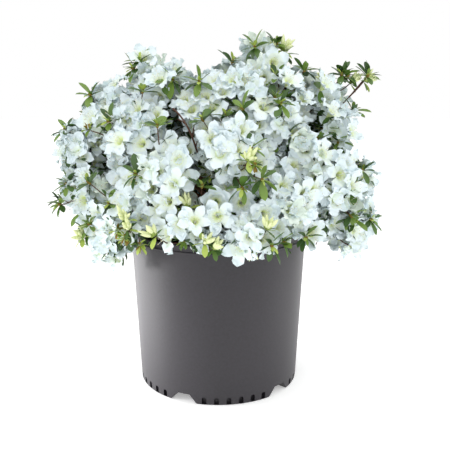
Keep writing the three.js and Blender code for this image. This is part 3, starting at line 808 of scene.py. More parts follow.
# Kinds of flower: open ones, every third of them double, and half-open ones
FLOWER_KINDS = 16
OPENNESS = (58, 84)
WIDTHS = (0.84, 0.94, 1.04, 1.16)
DOUBLE_EVERY = 3
INNER_LOBES = 3
INNER_OPENNESS = 0.62
INNER_WIDTH = 0.8
INNER_SIZE = 0.84
INNER_UNEVEN = 0.3
YOUNG_KINDS = 3
YOUNG_SHARE = 0.1
YOUNG_OPENNESS = 24
YOUNG_STEP = 9
YOUNG_WIDTH = 0.85
FLOWER_SEED = 7000
YOUNG_SEED = 7700
KIND_STEP = 11


def lobe_waves(draw, s, u, limb):
    """How far a lobe stands proud of its sheet: cupped, twisted, waved and creased along its rib."""
    cup = mix(CUPS, draw())
    ruffle = mix(RUFFLES, draw())
    waves = mix(WAVES, draw())
    left, right = draw() * FULL_TURN, draw() * FULL_TURN
    twist = TWIST * (draw() - 0.5)
    frill = np.abs(u) ** 1.5 * np.sin(FULL_TURN * waves * s + np.where(u > 0, left, right))
    return limb * (cup * u ** 2 + twist * u + ruffle * frill - RIB_DEPTH * np.exp(-(u / RIB_WIDTH) ** 2))


def lobe(draw, turn, openness, width, size=1.0):
    """A lobe with its share of the funnel: a waved sheet with a blunt point."""
    s, u = np.meshgrid(LOBE_ROWS, LOBE_COLUMNS, indexing="ij")
    limb_angle = openness + ANGLE_UNEVEN * (draw() - 0.5)
    recurve = limb_angle + mix(RECURVES, draw())
    wanted = [*FUNNEL_ANGLES, limb_angle, limb_angle, recurve]
    angles = np.radians(np.interp(LOBE_ROWS, ANGLE_PLACES, wanted))
    length = LOBE_LENGTH * size * mix(LOBE_LENGTHS, draw())
    steps = np.diff(LOBE_ROWS) * length
    middles = (angles[1:] + angles[:-1]) / 2
    reach = NECK_RADIUS + np.concatenate([[0], np.cumsum(steps * np.sin(middles))])
    depth = np.concatenate([[0], np.cumsum(steps * np.cos(middles))])
    limb = np.clip((s - LIMB_START) / LIMB_SPAN, 0, 1)
    half = np.interp(s, WIDTH_PLACES, HALF_WIDTHS) * (1 + (width - 1) * limb)
    lean = LOBE_LEAN * (draw() - 0.5)
    sideways = u * half + limb * lean * (s - LIMB_START) * length
    proud = lobe_waves(draw, s, u, limb)
    r = reach[:, None] - np.cos(angles)[:, None] * proud
    z = depth[:, None] + np.sin(angles)[:, None] * proud
    flat = np.clip((r - ROUND_RADIUS) / FLATTENING, 0, 1)
    bend = sideways / np.maximum(r, 1.0)
    x = mix((r * np.cos(bend), r), flat)
    y = mix((r * np.sin(bend), sideways), flat)
    cos, sin = math.cos(turn), math.sin(turn)
    points = np.stack([x * cos - y * sin, x * sin + y * cos, z], axis=-1).reshape(-1, 3)
    faces = grid_faces(len(LOBE_ROWS), len(LOBE_COLUMNS))
    start = LOBE_ROWS[faces[:, 0] // len(LOBE_COLUMNS)]
    zones = np.full(len(faces), PETAL)
    for zone, end in ZONE_ENDS.items():
        zones[start < end] = zone
    return points, faces, zones


def stamen(turn, length, lean):
    """A thin filament that curves up out of the throat, with its anther."""
    out = np.array([math.cos(turn), math.sin(turn), 0.0])
    root = out * STAMEN_FOOT[0] + UP * STAMEN_FOOT[1]
    end = out * length * lean + UP * length
    bend = root + UP * length * STAMEN_BEND
    curve = [bezier([root, bend, end], t) for t in np.linspace(0, 1, 3)]
    points, faces = tube(curve, FILAMENT_RADII, 3)
    return (np.concatenate([points, ANTHER_SIZE * ANTHER_POINTS + end]),
            np.concatenate([faces, ANTHER_FACES + len(points)]),
            np.array([FILAMENT] * len(faces) + [ANTHER] * len(ANTHER_FACES)))


def flower(seed, openness, width, inner=0):
    """A flower along +Z from its neck at the origin: lobes in a funnel, stamens and a style."""
    draw = seeded(seed)
    pile = Pile()
    for i in range(LOBES):
        turn = FULL_TURN * (i + LOBE_UNEVEN * (draw() - 0.5)) / LOBES
        pile.add(*lobe(draw, turn, openness, width))
    for i in range(inner):
        turn = FULL_TURN * (i + 0.5 + INNER_UNEVEN * draw()) / inner
        pile.add(*lobe(draw, turn, openness * INNER_OPENNESS, width * INNER_WIDTH, INNER_SIZE))
    spread = mix(STAMEN_SPREADS, openness / 90)
    for i in range(STAMENS):
        turn = FULL_TURN * (i + draw() * STAMEN_UNEVEN) / STAMENS
        pile.add(*stamen(turn, mix(STAMEN_LENGTHS, draw()), spread * mix(STAMEN_LEANS, draw())))
    pile.add(*stamen(draw() * FULL_TURN, STYLE_LENGTH, spread))
    return pile.joined()


def flower_kinds():
    """Wide open flowers, from flat to deep and from full to starry, and then the half-open ones."""
    kinds = []
    for i in range(FLOWER_KINDS):
        width = WIDTHS[(i * 3 + i // 4) % 4]
        inner = INNER_LOBES if i % DOUBLE_EVERY == 0 else 0
        kinds.append(flower(FLOWER_SEED + KIND_STEP * i, mix(OPENNESS, i % 4 / 3), width, inner))
    for i in range(YOUNG_KINDS):
        kinds.append(flower(YOUNG_SEED + KIND_STEP * i, YOUNG_OPENNESS + YOUNG_STEP * i, YOUNG_WIDTH))
    return kinds


# Leaves and buds

LEAF_DARK, LEAF_MID, LEAF_LIGHT, LEAF_YOUNG, BUD_SCALE, BUD_GREEN, BUD_CREAM = range(7)

LEAF_KINDS = 4
LEAF_SEED = 8000
LEAF_STEP = 13
LEAF_STATIONS = [0, 0.12, 0.3, 0.5, 0.7, 0.88, 1]
LEAF_HALF_WIDTHS = [0.03, 0.06, 0.14, 0.19, 0.2, 0.14, 0.01]
LEAF_FOLDS = (0.18, 0.43)
LEAF_ARCHES = (0.1, 0.26)
LEAF_UNEVEN = 0.6
ALMOST_ALONG = 0.95
WHORL_TILT_UNEVEN = 0.3
WHORL_TURN_UNEVEN = 0.35

# Rings of leaves at the end of each kind of shoot: [place along it, turn, count, tilt, sizes, tones]
WHORLS = {
    "flower": [[0, 0, 2, 1.5, (18, 28), (LEAF_DARK, LEAF_DARK, LEAF_MID)]],
    "scales": [[0, 0, 7, 1.3, (8, 15), (LEAF_YOUNG, LEAF_LIGHT, BUD_SCALE)],
               [3, 1, 7, 0.8, (8, 15), (LEAF_YOUNG, LEAF_LIGHT, BUD_SCALE)]],
    "whorl": [[0, 0, 6, 1.2, (20, 29), (LEAF_DARK, LEAF_MID, LEAF_LIGHT)],
              [2, 0.5, 4, 0.6, (9, 15), (LEAF_YOUNG, LEAF_LIGHT)]],
    "buds": [[-3, 0, 5, 1.5, (14, 21), (LEAF_MID, LEAF_YOUNG)]],
}

# Bud clusters: sizes as shares of a bud's length and width, and the green cup at its foot
BUDS_IN_CLUSTER = 7
BUDS_GROWN = 1.25
BUD_LENGTHS = (0.6, 1.1)
BUD_WIDTHS = (0.6, 0.85)
BUD_TILTS = (0.1, 0.65)
BUD_STALK = 4
BUD_CUP_LENGTH = 0.45
BUD_CUP_WIDTH = 0.97
BUD_SIDES = 10
BUD_RIDGES = 5
BUD_RIDGE = 0.1
BUD_STATIONS = [0, 0.15, 0.4, 0.65, 0.87, 1]
BUD_HALVES = np.array([0.15, 0.375, 0.5, 0.45, 0.25, 0.025])


def leaf(seed):
    """A leaf one unit long, pointing along +Z with its face to +Y: folded at its rib and arched."""
    draw = seeded(seed)
    fold = mix(LEAF_FOLDS, draw())
    arch = mix(LEAF_ARCHES, draw())
    points = []
    for station, half in zip(LEAF_STATIONS, LEAF_HALF_WIDTHS):
        drop = -arch * station ** 2
        edge = drop + fold * half
        points += [[-half, edge, station], [0, drop, station], [half, edge, station]]
    return np.array(points), grid_faces(len(LEAF_STATIONS), 3)


def placed(points, place, direction, facing, size):
    """A shape moved to its place, with +Z turned to a direction and +Y as near as it can be to another."""
    side, level = square_to(direction, facing)
    turn = np.stack([-level, side, direction])
    return place + (points * size) @ turn


def bud(length, width):
    """A pointed bud along +Z with soft ridges."""
    curve = [UP * length * station for station in BUD_STATIONS]

    def ridged(row, angles):
        return 1 + BUD_RIDGE * np.cos(BUD_RIDGES * angles)
    return tube(curve, BUD_HALVES * width, BUD_SIDES, ridged)


# Crown: every shoot with its flower, buds and leaves

class Crown:
    """Piles for the crown's pieces, one of each kind for each part. What is added goes to self.part."""

    def __init__(self):
        self.piles = {}
        self.part = None
        self.draw = seeded(CROWN_SEED)
        self.flowers = flower_kinds()
        self.leaf_kinds = [leaf(LEAF_SEED + LEAF_STEP * i) for i in range(LEAF_KINDS)]

    def add(self, kind, points, faces, zones):
        self.piles.setdefault((kind, self.part), Pile()).add(points, faces, zones)

    def add_flower(self, shoot):
        if self.draw() < YOUNG_SHARE:
            points, faces, zones = self.flowers[FLOWER_KINDS + int(self.draw() * YOUNG_KINDS)]
            zones = np.where(zones == PETAL, PALE, zones)
        else:
            kind = int(self.draw() * FLOWER_KINDS)
            if self.part.startswith("back") and kind % DOUBLE_EVERY == 0:
                kind = (kind + 1) % FLOWER_KINDS
            points, faces, zones = self.flowers[kind]
        side = tilted(shoot.facing, math.pi / 2, shoot.spin)
        self.add("blossom", placed(points, shoot.tip, shoot.facing, side, shoot.scale), faces, zones)

    def add_leaf(self, place, direction, size, tone, anywhere=False):
        if not anywhere and in_open_place(place + direction * size / 2):
            return
        points, faces = self.leaf_kinds[int(self.draw() * LEAF_KINDS)]
        face_to = unit(UP + LEAF_UNEVEN * np.array([self.draw() - 0.5, self.draw() - 0.5, 0]))
        if abs(face_to.dot(direction)) > ALMOST_ALONG:
            face_to = across(direction)
        self.add("leaves", placed(points, place, direction, face_to, size), faces, tone)

    def add_bud(self, place, direction, length, width, tone):
        points, faces = bud(length, width)
        self.add("leaves", placed(points, place, direction, across(direction), 1.0), faces, tone)

    def add_twig(self, bends, radii, steps, sides=5):
        stations = np.linspace(0, 1, steps)
        curve = [bezier(bends, station) for station in stations]
        self.add("twigs", *tube(curve, mix(radii, stations), sides), 0)


def part_of(mass):
    """The part of the crown that a mass belongs to."""
    if mass.name.startswith("back"):
        return mass.name[:mass.name.rindex("_")]
    side = "left" if mass.centre[0] < 0 else "right"
    return f"top_{side}" if mass.centre[2] >= HIGH_MASS else side


def grow_whorls(crown, shoot):
    """The rings of leaves at the end of a shoot."""
    for along, ring_turn, count, tilt, sizes, tones in WHORLS[shoot.kind]:
        place = shoot.tip + shoot.facing * (COLLAR + along)
        for i in range(count):
            turn = shoot.spin + ring_turn + FULL_TURN * (i + WHORL_TURN_UNEVEN * crown.draw()) / count
            direction = tilted(shoot.facing, tilt + WHORL_TILT_UNEVEN * (crown.draw() - 0.5), turn)
            size = mix(sizes, crown.draw())
            tone = tones[int(crown.draw() * len(tones))]
            crown.add_leaf(place, direction, size, tone, anywhere=shoot.kind != "flower")


def grow_leaves_along(crown, curve, row, axis=None):
    """Single leaves along a twig on any side of it, or in a spiral round the axis that is given."""
    count, places, tilts, sizes = row
    for i in range(count):
        along = mix(places, (i + crown.draw()) / count)
        tilt = mix(tilts, crown.draw())
        turn = crown.draw() * FULL_TURN if axis is None else GOLDEN_TURN * i + crown.draw()
        direction = tilted(heading(curve, along) if axis is None else axis, tilt, turn)
        crown.add_leaf(bezier(curve, along), direction, mix(sizes, crown.draw()), LEAF_DARK)


def grow_sister(crown, shoot):
    """A flower on a stalk of its own from the end of its truss's twig."""
    root = shoot.parent.tip - shoot.parent.facing * TRUSS_STALK
    bend = (root + shoot.tip) / 2 + shoot.parent.facing
    crown.add_twig([root, bend, shoot.tip], (SHOOT_RADII[1], SHOOT_RADII[1]), 3)
    crown.add_flower(shoot)
    if crown.draw() < SISTER_LEAF_SHARE:
        direction = tilted(shoot.facing, mix(SISTER_LEAF_TILTS, crown.draw()), shoot.spin)
        crown.add_leaf(shoot.tip, direction, mix(SISTER_LEAF_SIZES, crown.draw()), LEAF_DARK)


def grow_shoot(crown, shoot, stem):
    """A twig from the stem to the flower or bud, with the leaves round and along it."""
    span = np.linalg.norm(stem[2] - stem[0])
    root = bezier(stem, 1 - shoot.share * min(MOST_OF_STEM, SHOOTS_SPREAD / span))
    bend = shoot.tip - shoot.facing * SHOOT_BEND * np.linalg.norm(shoot.tip - root)
    curve = [root, bend, shoot.tip]
    crown.add_twig(curve, SHOOT_RADII, 5, 4)
    if not shoot.mass.is_sprig:
        grow_leaves_along(crown, curve, SHOOT_LEAVES)
    if shoot.kind == "flower":
        crown.add_flower(shoot)
    elif shoot.kind == "whorl":
        crown.add_bud(shoot.tip, shoot.facing, TIP_BUD_LENGTH, TIP_BUD_WIDTH, BUD_SCALE)
    elif shoot.kind == "buds":
        grow_bud_cluster(crown, shoot)
    grow_whorls(crown, shoot)


def grow_inner_twigs(crown, mass, stem):
    """Short leafy twigs inside the crown, behind the blossom."""
    draw = crown.draw
    for i in range(INNER_TWIGS):
        root = bezier(stem, mix(INNER_TWIG_PLACES, (i + draw()) / INNER_TWIGS))
        direction = tilted(mass.outward, mix(INNER_TWIG_TILTS, draw()), GOLDEN_TURN * i + draw())
        tip = root + direction * mass.radius * mix(INNER_TWIG_REACHES, draw())
        curve = [root, (root + tip) / 2 + INNER_TWIG_ARCH * UP, tip]
        crown.add_twig(curve, SHOOT_RADII, 5)
        grow_leaves_along(crown, curve, INNER_LEAVES, direction)


def grow_bud_cluster(crown, shoot):
    """Closed flower buds that stand together on short stalks, green at the foot and cream above."""
    for i in range(BUDS_IN_CLUSTER):
        direction = tilted(shoot.facing, mix(BUD_TILTS, crown.draw()), shoot.spin + GOLDEN_TURN * i)
        length = BUD_LENGTH * BUDS_GROWN * mix(BUD_LENGTHS, crown.draw())
        base = shoot.tip + direction * BUD_STALK * crown.draw()
        width = BUD_WIDTH * mix(BUD_WIDTHS, crown.draw())
        crown.add_bud(base, direction, length, width, BUD_CREAM)
        crown.add_bud(base - direction, direction, length * BUD_CUP_LENGTH, width * BUD_CUP_WIDTH, BUD_GREEN)


def grow_bare_stem(crown):
    """The old stem that crosses a gap before the blossom, with the stubs of shed twigs."""
    curve = [on_ring(*place) for place in BARE_STEM]
    crown.add_twig(curve, BARE_STEM_RADII, 14, 7)
    draw = seeded(BARE_STEM_SEED)
    for i in range(BARE_TWIGS):
        along = mix(BARE_TWIG_PLACES, (i + draw()) / BARE_TWIGS)
        root = bezier(curve, along)
        direction = tilted(heading(curve, along), BARE_TWIG_TILT, GOLDEN_TURN * i)
        tip = root + direction * mix(BARE_TWIG_LENGTHS, draw())
        crown.add_twig([root, (root + tip) / 2 + BARE_TWIG_ARCH * UP, tip], BARE_TWIG_RADII, 4)


def kept_shoots(masses):
    """All the shoots that find room, the first kinds before the ones that fill in between them."""
    kept = spaced(tip_shoots(masses), [], 0, (0.0,), anywhere=True)
    for mass in masses.values():
        spaced(planned_shoots(mass), kept, FLOWER_SPACING, (0.0, CROWDED_SINK))
    sisters = sister_shoots([shoot for shoot in kept if not shoot.mass.is_sprig])
    spaced(sisters, kept, TRUSS_SPACING, (0.0,))
    for mass in masses.values():
        if not mass.is_sprig:
            spaced(infill_shoots(mass), kept, INFILL_SPACING, (0.0, CROWDED_SINK, CROWDED_SINK))
    return spaced(envelope_shoots(masses), kept, ENVELOPE_SPACING, (0.0,))


def grow_crown(masses):
    crown = Crown()
    stems = {}
    for bough, carried in zip(bough_curves(masses), BOUGHS.values()):
        for order, name in enumerate(carried):
            stems[name] = stem_curve(bough, order, masses[name])
    crown.part = part_of(masses[BARE_STEM_MASS])
    grow_bare_stem(crown)
    for name, stem in stems.items():
        mass = masses[name]
        crown.part = part_of(mass)
        crown.add_twig(stem, SPRIG_STEM_RADII if mass.is_sprig else STEM_RADII, 10, 7)
        if not mass.is_sprig:
            grow_leaves_along(crown, stem, STEM_LEAVES)
            grow_inner_twigs(crown, mass, stem)
    for shoot in kept_shoots(masses):
        crown.part = part_of(shoot.mass)
        if shoot.kind == "sister":
            grow_sister(crown, shoot)
        else:
            grow_shoot(crown, shoot, stems[shoot.mass.name])
    return crown


# Materials

FINE_RELIEF = 0.0006
MOTTLE_ROUGHNESS = 0.65
MOTTLE_ENDS = (0.35, 0.68)

# Finishes with one noise: [name, dark and light colour, roughness, scale, stretch, relief, its depth]
POT_FINISH = ["pot_plastic", (36, 33, 38), (42, 39, 45), 0.5, 260, (1, 1, 1), 0.1, 0.0003]
SOIL_FINISHES = [
    ["soil_dark", (28, 20, 15), (62, 45, 33), 0.95, 300],
    ["soil_chips", (60, 42, 30), (104, 76, 54), 0.9, 220],
]
BARK_FINISH = ["bark", (96, 68, 50), (160, 122, 92), 0.85, 190, (1, 1, 0.3), 0.8, 0.0008]

# The crown's finishes, in the order of their zones and tones: [name, colour, roughness, gloss, relief, grain]
CROWN_FINISHES = {
    "blossom": [
        ["petal_white", (231, 243, 247), 0.6, 0.25, 0.35, 260],
        ["petal_pale", (233, 244, 235), 0.6, 0.25, 0.35, 260],
        ["petal_cream", (237, 246, 213), 0.6, 0.25, 0.35, 260],
        ["petal_throat", (236, 246, 180), 0.6, 0.25],
        ["filament", (240, 244, 236), 0.6, 0.3],
        ["anther", (214, 196, 150), 0.7, 0.3],
    ],
    "leaves": [
        ["leaf_dark", (62, 92, 40), 0.42, 0.5, 0.3, 300],
        ["leaf_mid", (80, 112, 46), 0.42, 0.5, 0.3, 300],
        ["leaf_light", (112, 142, 58), 0.45, 0.5, 0.3, 300],
        ["leaf_young", (178, 198, 98), 0.5, 0.4, 0.3, 300],
        ["bud_scale", (134, 112, 46), 0.6, 0.4],
        ["bud_green", (140, 160, 74), 0.5, 0.4],
        ["bud_cream", (226, 234, 182), 0.55, 0.3],
    ],
    "twigs": [["twig_bark", (84, 58, 46), 0.75, 0.3, 0.5, 500]],
}
CROWN_SLOTS = {"blossom": "blossom", "leaves": "leaf", "twigs": "bark"}


def linear(color):
    """A colour read off the photo, from 0 to 255, as Blender takes it."""
    return (*(((c / 255 + 0.055) / 1.055) ** 2.4 if c > 10 else c / 3294 for c in color), 1.0)


def fill(node, **values):
    """Sets a node's sockets by their names, with _ for a space."""
    for socket, value in values.items():
        node.inputs[socket.replace("_", " ")].default_value = value


def noise_relief(made, stretch, strength, distance, **noise_values):
    """Relief from a noise in the piece's own space. The noise is handed on, for the colour."""
    nodes, links = made.node_tree.nodes, made.node_tree.links
    place = nodes.new("ShaderNodeTexCoord")
    mapping = nodes.new("ShaderNodeMapping")
    noise = nodes.new("ShaderNodeTexNoise")
    relief = nodes.new("ShaderNodeBump")
    fill(mapping, Scale=stretch)
    fill(noise, **noise_values)
    fill(relief, Strength=strength, Distance=distance)
    links.new(place.outputs["Object"], mapping.inputs["Vector"])
    links.new(mapping.outputs["Vector"], noise.inputs["Vector"])
    links.new(noise.outputs["Fac"], relief.inputs["Height"])
    links.new(relief.outputs["Normal"], nodes["Principled BSDF"].inputs["Normal"])
    return noise


def material(name, color, roughness, gloss=0.5, bump=0.0, grain=400.0):
    """A plain coloured finish, with a fine uneven surface where it has a bump."""
    made = bpy.data.materials.new(name)
    made.use_nodes = True
    shader = made.node_tree.nodes["Principled BSDF"]
    fill(shader, Base_Color=linear(color), Roughness=roughness, Specular_IOR_Level=gloss)
    if bump:
        noise_relief(made, (1, 1, 1), bump, FINE_RELIEF, Scale=grain, Detail=3)
    return made


def mottled(name, dark, light, roughness, scale, stretch=(1, 1, 1), bump=0.6, distance=0.001):
    """A finish whose colour and relief both vary with the same noise."""
    made = material(name, light, roughness)
    nodes, links = made.node_tree.nodes, made.node_tree.links
    noise = noise_relief(made, stretch, bump, distance, Scale=scale, Detail=6, Roughness=MOTTLE_ROUGHNESS)
    ramp = nodes.new("ShaderNodeValToRGB")
    for element, position, color in zip(ramp.color_ramp.elements, MOTTLE_ENDS, (dark, light)):
        element.position = position
        element.color = linear(color)
    links.new(noise.outputs["Fac"], ramp.inputs["Fac"])
    links.new(ramp.outputs["Color"], nodes["Principled BSDF"].inputs["Base Color"])
    return made


# Limbs with bark

def bark_relief(seed):
    """Long furrows along a limb, and knots now and then."""
    draw = seeded(seed)
    phases = [draw() * FULL_TURN for _ in range(4)]

    def relief(row, angles):
        furrows = 0.05 * np.sin(5 * angles + phases[0] + 0.25 * row) + 0.035 * np.sin(9 * angles + phases[1])
        knots = 0.05 * math.sin(0.9 * row + phases[2]) + 0.03 * math.sin(2.3 * row + phases[3])
        return 1 + furrows + knots
    return relief


def trunk_pile():
    """The tapering, leaning trunk, whose foot spreads in ridges where the roots leave."""
    stations = np.linspace(0, 1, TRUNK_RINGS) ** RINGS_LOW
    curve = [mix((TRUNK_FOOT, TRUNK_TOP), along) for along in stations]
    radii = mix(TRUNK_RADII, stations)
    bark = bark_relief(TRUNK_BARK_SEED)

    def relief(row, angles):
        ridge = (1 + np.cos(TRUNK_ROOTS * angles)) / 2
        flare = TRUNK_FLARE * ridge * (1 - stations[row]) ** TRUNK_FLARE_FADE / radii[row]
        return bark(row, angles) + flare
    pile = Pile()
    pile.add(*tube(curve, radii, TRUNK_SIDES, relief), 0)
    return pile


def boughs_pile(masses):
    pile = Pile()
    stations = np.linspace(0, 1, BOUGH_RINGS)
    for index, bends in enumerate(bough_curves(masses)):
        curve = [bezier(bends, along) for along in stations]
        bark = bark_relief(BOUGH_BARK_SEED + index)
        pile.add(*tube(curve, mix(BOUGH_RADII, stations), BOUGH_SIDES, bark), 0)
    return pile


# Pot

def pot_radius(height):
    """The plain taper of the wall, without its bead and lip."""
    return mix((POT_FOOT_RADIUS, POT_RIDGE_RADIUS - BEAD_PROUD), height / POT_RIDGE_HEIGHT)


def arc(centre, radius, start, end, steps=5):
    """Points on a round stretch of an outline, between two angles in degrees."""
    angles = [math.radians(mix((start, end), i / steps)) for i in range(steps + 1)]
    return [(centre[0] + radius * math.cos(a), centre[1] + radius * math.sin(a)) for a in angles]


def pot_outline():
    """Radius and height from the middle of the underside, up the outside, and down the inside."""
    lip_round = LIP_HEIGHT / 2
    band = pot_radius(POT_RIDGE_HEIGHT)
    inside = POT_FOOT_RADIUS - FOOT_WALL
    return [
        (0.0, 0.0),
        *arc((POT_FOOT_RADIUS - POT_EDGE_ROUND, POT_EDGE_ROUND), POT_EDGE_ROUND, -90, 0),
        *[(pot_radius(h), h) for h in np.linspace(8, POT_RIDGE_HEIGHT - 1.6 * BEAD_HALF, 12)],
        *arc((POT_RIDGE_RADIUS - BEAD_ROUND, POT_RIDGE_HEIGHT), BEAD_ROUND, -70, 70, 6),
        (band, POT_RIDGE_HEIGHT + 1.5 * BEAD_HALF),
        (band, POT_HEIGHT - 1.15 * LIP_HEIGHT),
        *arc((POT_RIDGE_RADIUS - lip_round, POT_HEIGHT - lip_round), lip_round, -60, 140, 8),
        (band - POT_WALL, POT_HEIGHT - 2 * LIP_HEIGHT),
        (pot_radius(FOOT_WALL_HEIGHT) - POT_WALL, FOOT_WALL_HEIGHT),
        (inside, FOOT_WALL_HEIGHT - POT_FLOOR),
        (inside, POT_FLOOR),
        (0.0, POT_FLOOR),
    ]


def solid(name, points, faces):
    mesh = new_mesh(name, points, faces)
    shell = bmesh.new()
    shell.from_mesh(mesh)
    bmesh.ops.recalc_face_normals(shell, faces=shell.faces)
    shell.to_mesh(mesh)
    shell.free()
    return in_scene(name, mesh)


def lathe(name, outline, sides):
    """A closed solid of revolution."""
    turns = [FULL_TURN * i / sides for i in range(sides)]
    rings = [[r * math.cos(a), r * math.sin(a), h] for r, h in outline[1:-1] for a in turns]
    points = [[0.0, 0.0, outline[0][1]], *rings, [0.0, 0.0, outline[-1][1]]]
    faces = (grid_faces(len(outline) - 2, sides, closed=True) + 1).tolist()
    top = len(points) - 1
    for i in range(sides):
        j = (i + 1) % sides
        faces += [[0, 1 + j, 1 + i], [top, top - sides + i, top - sides + j]]
    return solid(name, points, faces)


def prism(outline, bearing, depth, outer=POT_FOOT_RADIUS + CUT_PAST):
    """A block with an outline of width and height, that reaches a depth in from the foot of the wall."""
    count = len(outline)
    direction = on_ring(bearing, 1.0, 0.0)
    side = np.cross(UP, direction)
    reaches = (POT_FOOT_RADIUS - depth, outer)
    points = [direction * reach + side * w + UP * h for reach in reaches for w, h in outline]
    faces = [list(range(count)), list(range(2 * count - 1, count - 1, -1))]
    for i in range(count):
        j = (i + 1) % count
        faces.append([i, count + i, count + j, j])
    return solid("block", points, faces)


def notch_outline():
    """The drain notch seen from outside: a low arch with leaning sides and round shoulders."""
    foot = NOTCH_FOOT_WIDTH / 2
    shoulder = (NOTCH_TOP_WIDTH / 2 - NOTCH_ROUND, NOTCH_HEIGHT - NOTCH_ROUND)
    right = arc(shoulder, NOTCH_ROUND, 30, 90, 4)
    left = [(-w, h) for w, h in reversed(right)]
    return [(foot, -POT_FLOOR), *right, *left, (-foot, -POT_FLOOR)]


def flute_outline():
    """A short upright groove with a round top."""
    dome = arc((0.0, FLUTE_HEIGHT - FLUTE_HALF_WIDTH), FLUTE_HALF_WIDTH, 0, 180, 8)
    return [(dome[0][0], FLUTE_LIP), *dome, (dome[-1][0], FLUTE_LIP)]


def boolean(target, block, operation):
    modifier = target.modifiers.new(operation.lower(), "BOOLEAN")
    modifier.object = block
    modifier.operation = operation
    modifier.solver = "EXACT"
    bpy.context.view_layer.objects.active = target
    bpy.ops.object.modifier_apply(modifier=modifier.name)
    bpy.data.objects.remove(block)


def make_pot():
    """The lathed wall, with moulded walls behind its notches, cut by the notches and flutes."""
    pot = lathe("pot_body", pot_outline(), POT_SIDES)
    notches = [FIRST_NOTCH_BEARING + foot * 360 / FEET for foot in range(FEET)]
    liner = [(w * LINER_GROWN, h + POT_WALL if h > 0 else LINER_FOOT) for w, h in notch_outline()]
    widest = max(w for w, h in liner)
    liner_outer = math.sqrt(POT_FOOT_RADIUS ** 2 - widest ** 2) - POT_EDGE_ROUND
    for bearing in notches:
        boolean(pot, prism(liner, bearing, NOTCH_DEPTH + POT_WALL, liner_outer), "UNION")
    for bearing in notches:
        boolean(pot, prism(notch_outline(), bearing, NOTCH_DEPTH), "DIFFERENCE")
        for i in range(FLUTES_PER_FOOT):
            turn = bearing + 180 / FEET + (i - (FLUTES_PER_FOOT - 1) / 2) * FLUTE_STEP
            boolean(pot, prism(flute_outline(), turn, FLUTE_DEPTH), "DIFFERENCE")
    pot.data.shade_smooth()
    pot.data.set_sharp_from_angle(angle=math.radians(SHARP_EDGE))
    return pot


# Soil

def soil_top(draw, edge):
    """The rough top of the potting mix, with its edge against the wall."""
    phases = [draw() * FULL_TURN for _ in range(6)]
    points = []
    for ring in range(SOIL_RINGS + 1):
        for i in range(SOIL_SIDES):
            angle = FULL_TURN * i / SOIL_SIDES
            x = edge * ring / SOIL_RINGS * math.cos(angle)
            y = edge * ring / SOIL_RINGS * math.sin(angle)
            bumps = (math.sin(x / 7 + phases[0]) * math.sin(y / 9 + phases[1])
                     + 0.6 * math.sin(x / 3.1 + phases[2]) * math.sin(y / 2.7 + phases[3])
                     + 0.5 * (draw() - 0.5))
            points.append([x, y, SOIL_LEVEL + SOIL_ROUGH * (bumps - 1.2)])
    return np.array(points), grid_faces(SOIL_RINGS + 1, SOIL_SIDES, closed=True)


def make_soil():
    """The potting mix with chips of bark lying on it, dark and light."""
    draw = seeded(SOIL_SEED)
    edge = pot_radius(SOIL_LEVEL) - POT_WALL - CLEAR
    pile = Pile()
    pile.add(*soil_top(draw, edge), 0)
    box = np.array([[x, y, z] for z in (-1, 1) for y in (-1, 1) for x in (-1, 1)], dtype=float)
    sides = np.array([(0, 2, 3), (0, 3, 1), (4, 5, 7), (4, 7, 6), (0, 1, 5), (0, 5, 4),
                      (2, 6, 7), (2, 7, 3), (0, 4, 6), (0, 6, 2), (1, 3, 7), (1, 7, 5)])
    for _ in range(CHIPS):
        size = mix(CHIP_SIZES, draw() ** 3)
        shape = box * size * np.array([0.5, mix(CHIP_WIDTHS, draw()), mix(CHIP_HEIGHTS, draw())])
        shape = shape * (1 + CHIP_UNEVEN * (np.array([draw() for _ in range(24)]).reshape(8, 3) - 0.5))
        bearing, reach = draw() * 360, (edge - CHIPS_INSIDE) * math.sqrt(draw())
        spot = on_ring(bearing, reach, SOIL_LEVEL - SOIL_ROUGH + 1.5 * draw())
        direction = unit(np.array([draw() - 0.5, draw() - 0.5, 0.5 * (draw() - 0.5)]))
        pile.add(placed(shape, spot, direction, UP, 1.0), sides, 0 if draw() < DARK_CHIPS else 1)
    return pile


# Put the pieces together

def finish_piece(piece, slot, nodes):
    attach(piece, "root")
    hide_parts(*nodes)


def dress_pot():
    pot = make_pot()
    pot.data.materials.append(mottled(*POT_FINISH))
    finish_piece(pot, "pot", ["pot"])
    soil = make_soil().piece("soil_bed", [mottled(*row) for row in SOIL_FINISHES])
    finish_piece(soil, "soil", ["soil"])


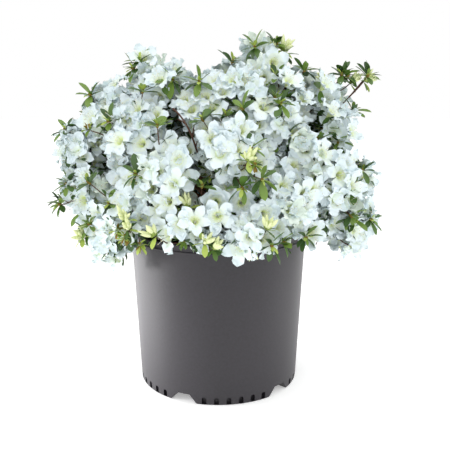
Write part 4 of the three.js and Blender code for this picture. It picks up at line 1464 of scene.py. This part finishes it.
def dress_limbs(masses):
    bark = [mottled(*BARK_FINISH)]
    finish_piece(trunk_pile().piece("trunk_bark", bark), "bark", ["trunk"])
    finish_piece(boughs_pile(masses).piece("boughs_bark", bark), "bark", list(BOUGHS))


def dress_crown(masses):
    crown = grow_crown(masses)
    finishes = {kind: [material(*row) for row in rows] for kind, rows in CROWN_FINISHES.items()}
    nodes = {}
    for mass in masses.values():
        nodes.setdefault(part_of(mass), []).append(mass.name)
    for part in nodes:
        for kind, slot in CROWN_SLOTS.items():
            piece = crown.piles[kind, part].piece(f"{kind}_{part}", finishes[kind])
            finish_piece(piece, slot, nodes[part])


# Studio

def area_light(name, place, aim, size, energy, spread):
    data = bpy.data.lights.new(name, "AREA")
    data.shape = "RECTANGLE"
    data.size, data.size_y = size
    data.energy = energy
    data.spread = math.radians(spread)
    light = in_scene(name, data)
    light.location = place
    light.visible_camera = False
    light.rotation_euler = (Vector(aim) - Vector(place)).to_track_quat("-Z", "Y").to_euler()


def make_studio():
    corners = [[x * FLOOR_SIZE, y * FLOOR_SIZE, 0] for x, y in ((-1, -1), (1, -1), (1, 1), (-1, 1))]
    floor = solid("floor", corners, [[0, 1, 2, 3]])
    finish = material("studio_floor", (255, 255, 255), 0.9, 0.0)
    shader = finish.node_tree.nodes["Principled BSDF"]
    fill(shader, Base_Color=FLOOR_COLOR, Emission_Color=WHITE, Emission_Strength=FLOOR_GLOW)
    floor.data.materials.append(finish)
    world = bpy.data.worlds.new("studio")
    world.use_nodes = True
    fill(world.node_tree.nodes["Background"], Color=WHITE, Strength=SKY_LIGHT)
    bpy.context.scene.world = world
    bpy.context.scene.view_settings.view_transform = "Standard"
    for lamp in LAMPS:
        area_light(*lamp)


def make_camera():
    data = bpy.data.cameras.new("camera")
    data.sensor_width = SENSOR_WIDTH
    data.lens = FOCAL_PIXELS * SENSOR_WIDTH / PHOTO_PIXELS
    camera = in_scene("camera", data)
    camera.location = [c * MM for c in CAMERA_PLACE]
    camera.rotation_euler = (math.radians(90 - CAMERA_PITCH), 0, math.radians(-CAMERA_YAW))
    bpy.context.scene.camera = camera


make_camera()
make_studio()
dress_pot()
all_found = all_masses()
dress_limbs(all_found)
dress_crown(all_found)
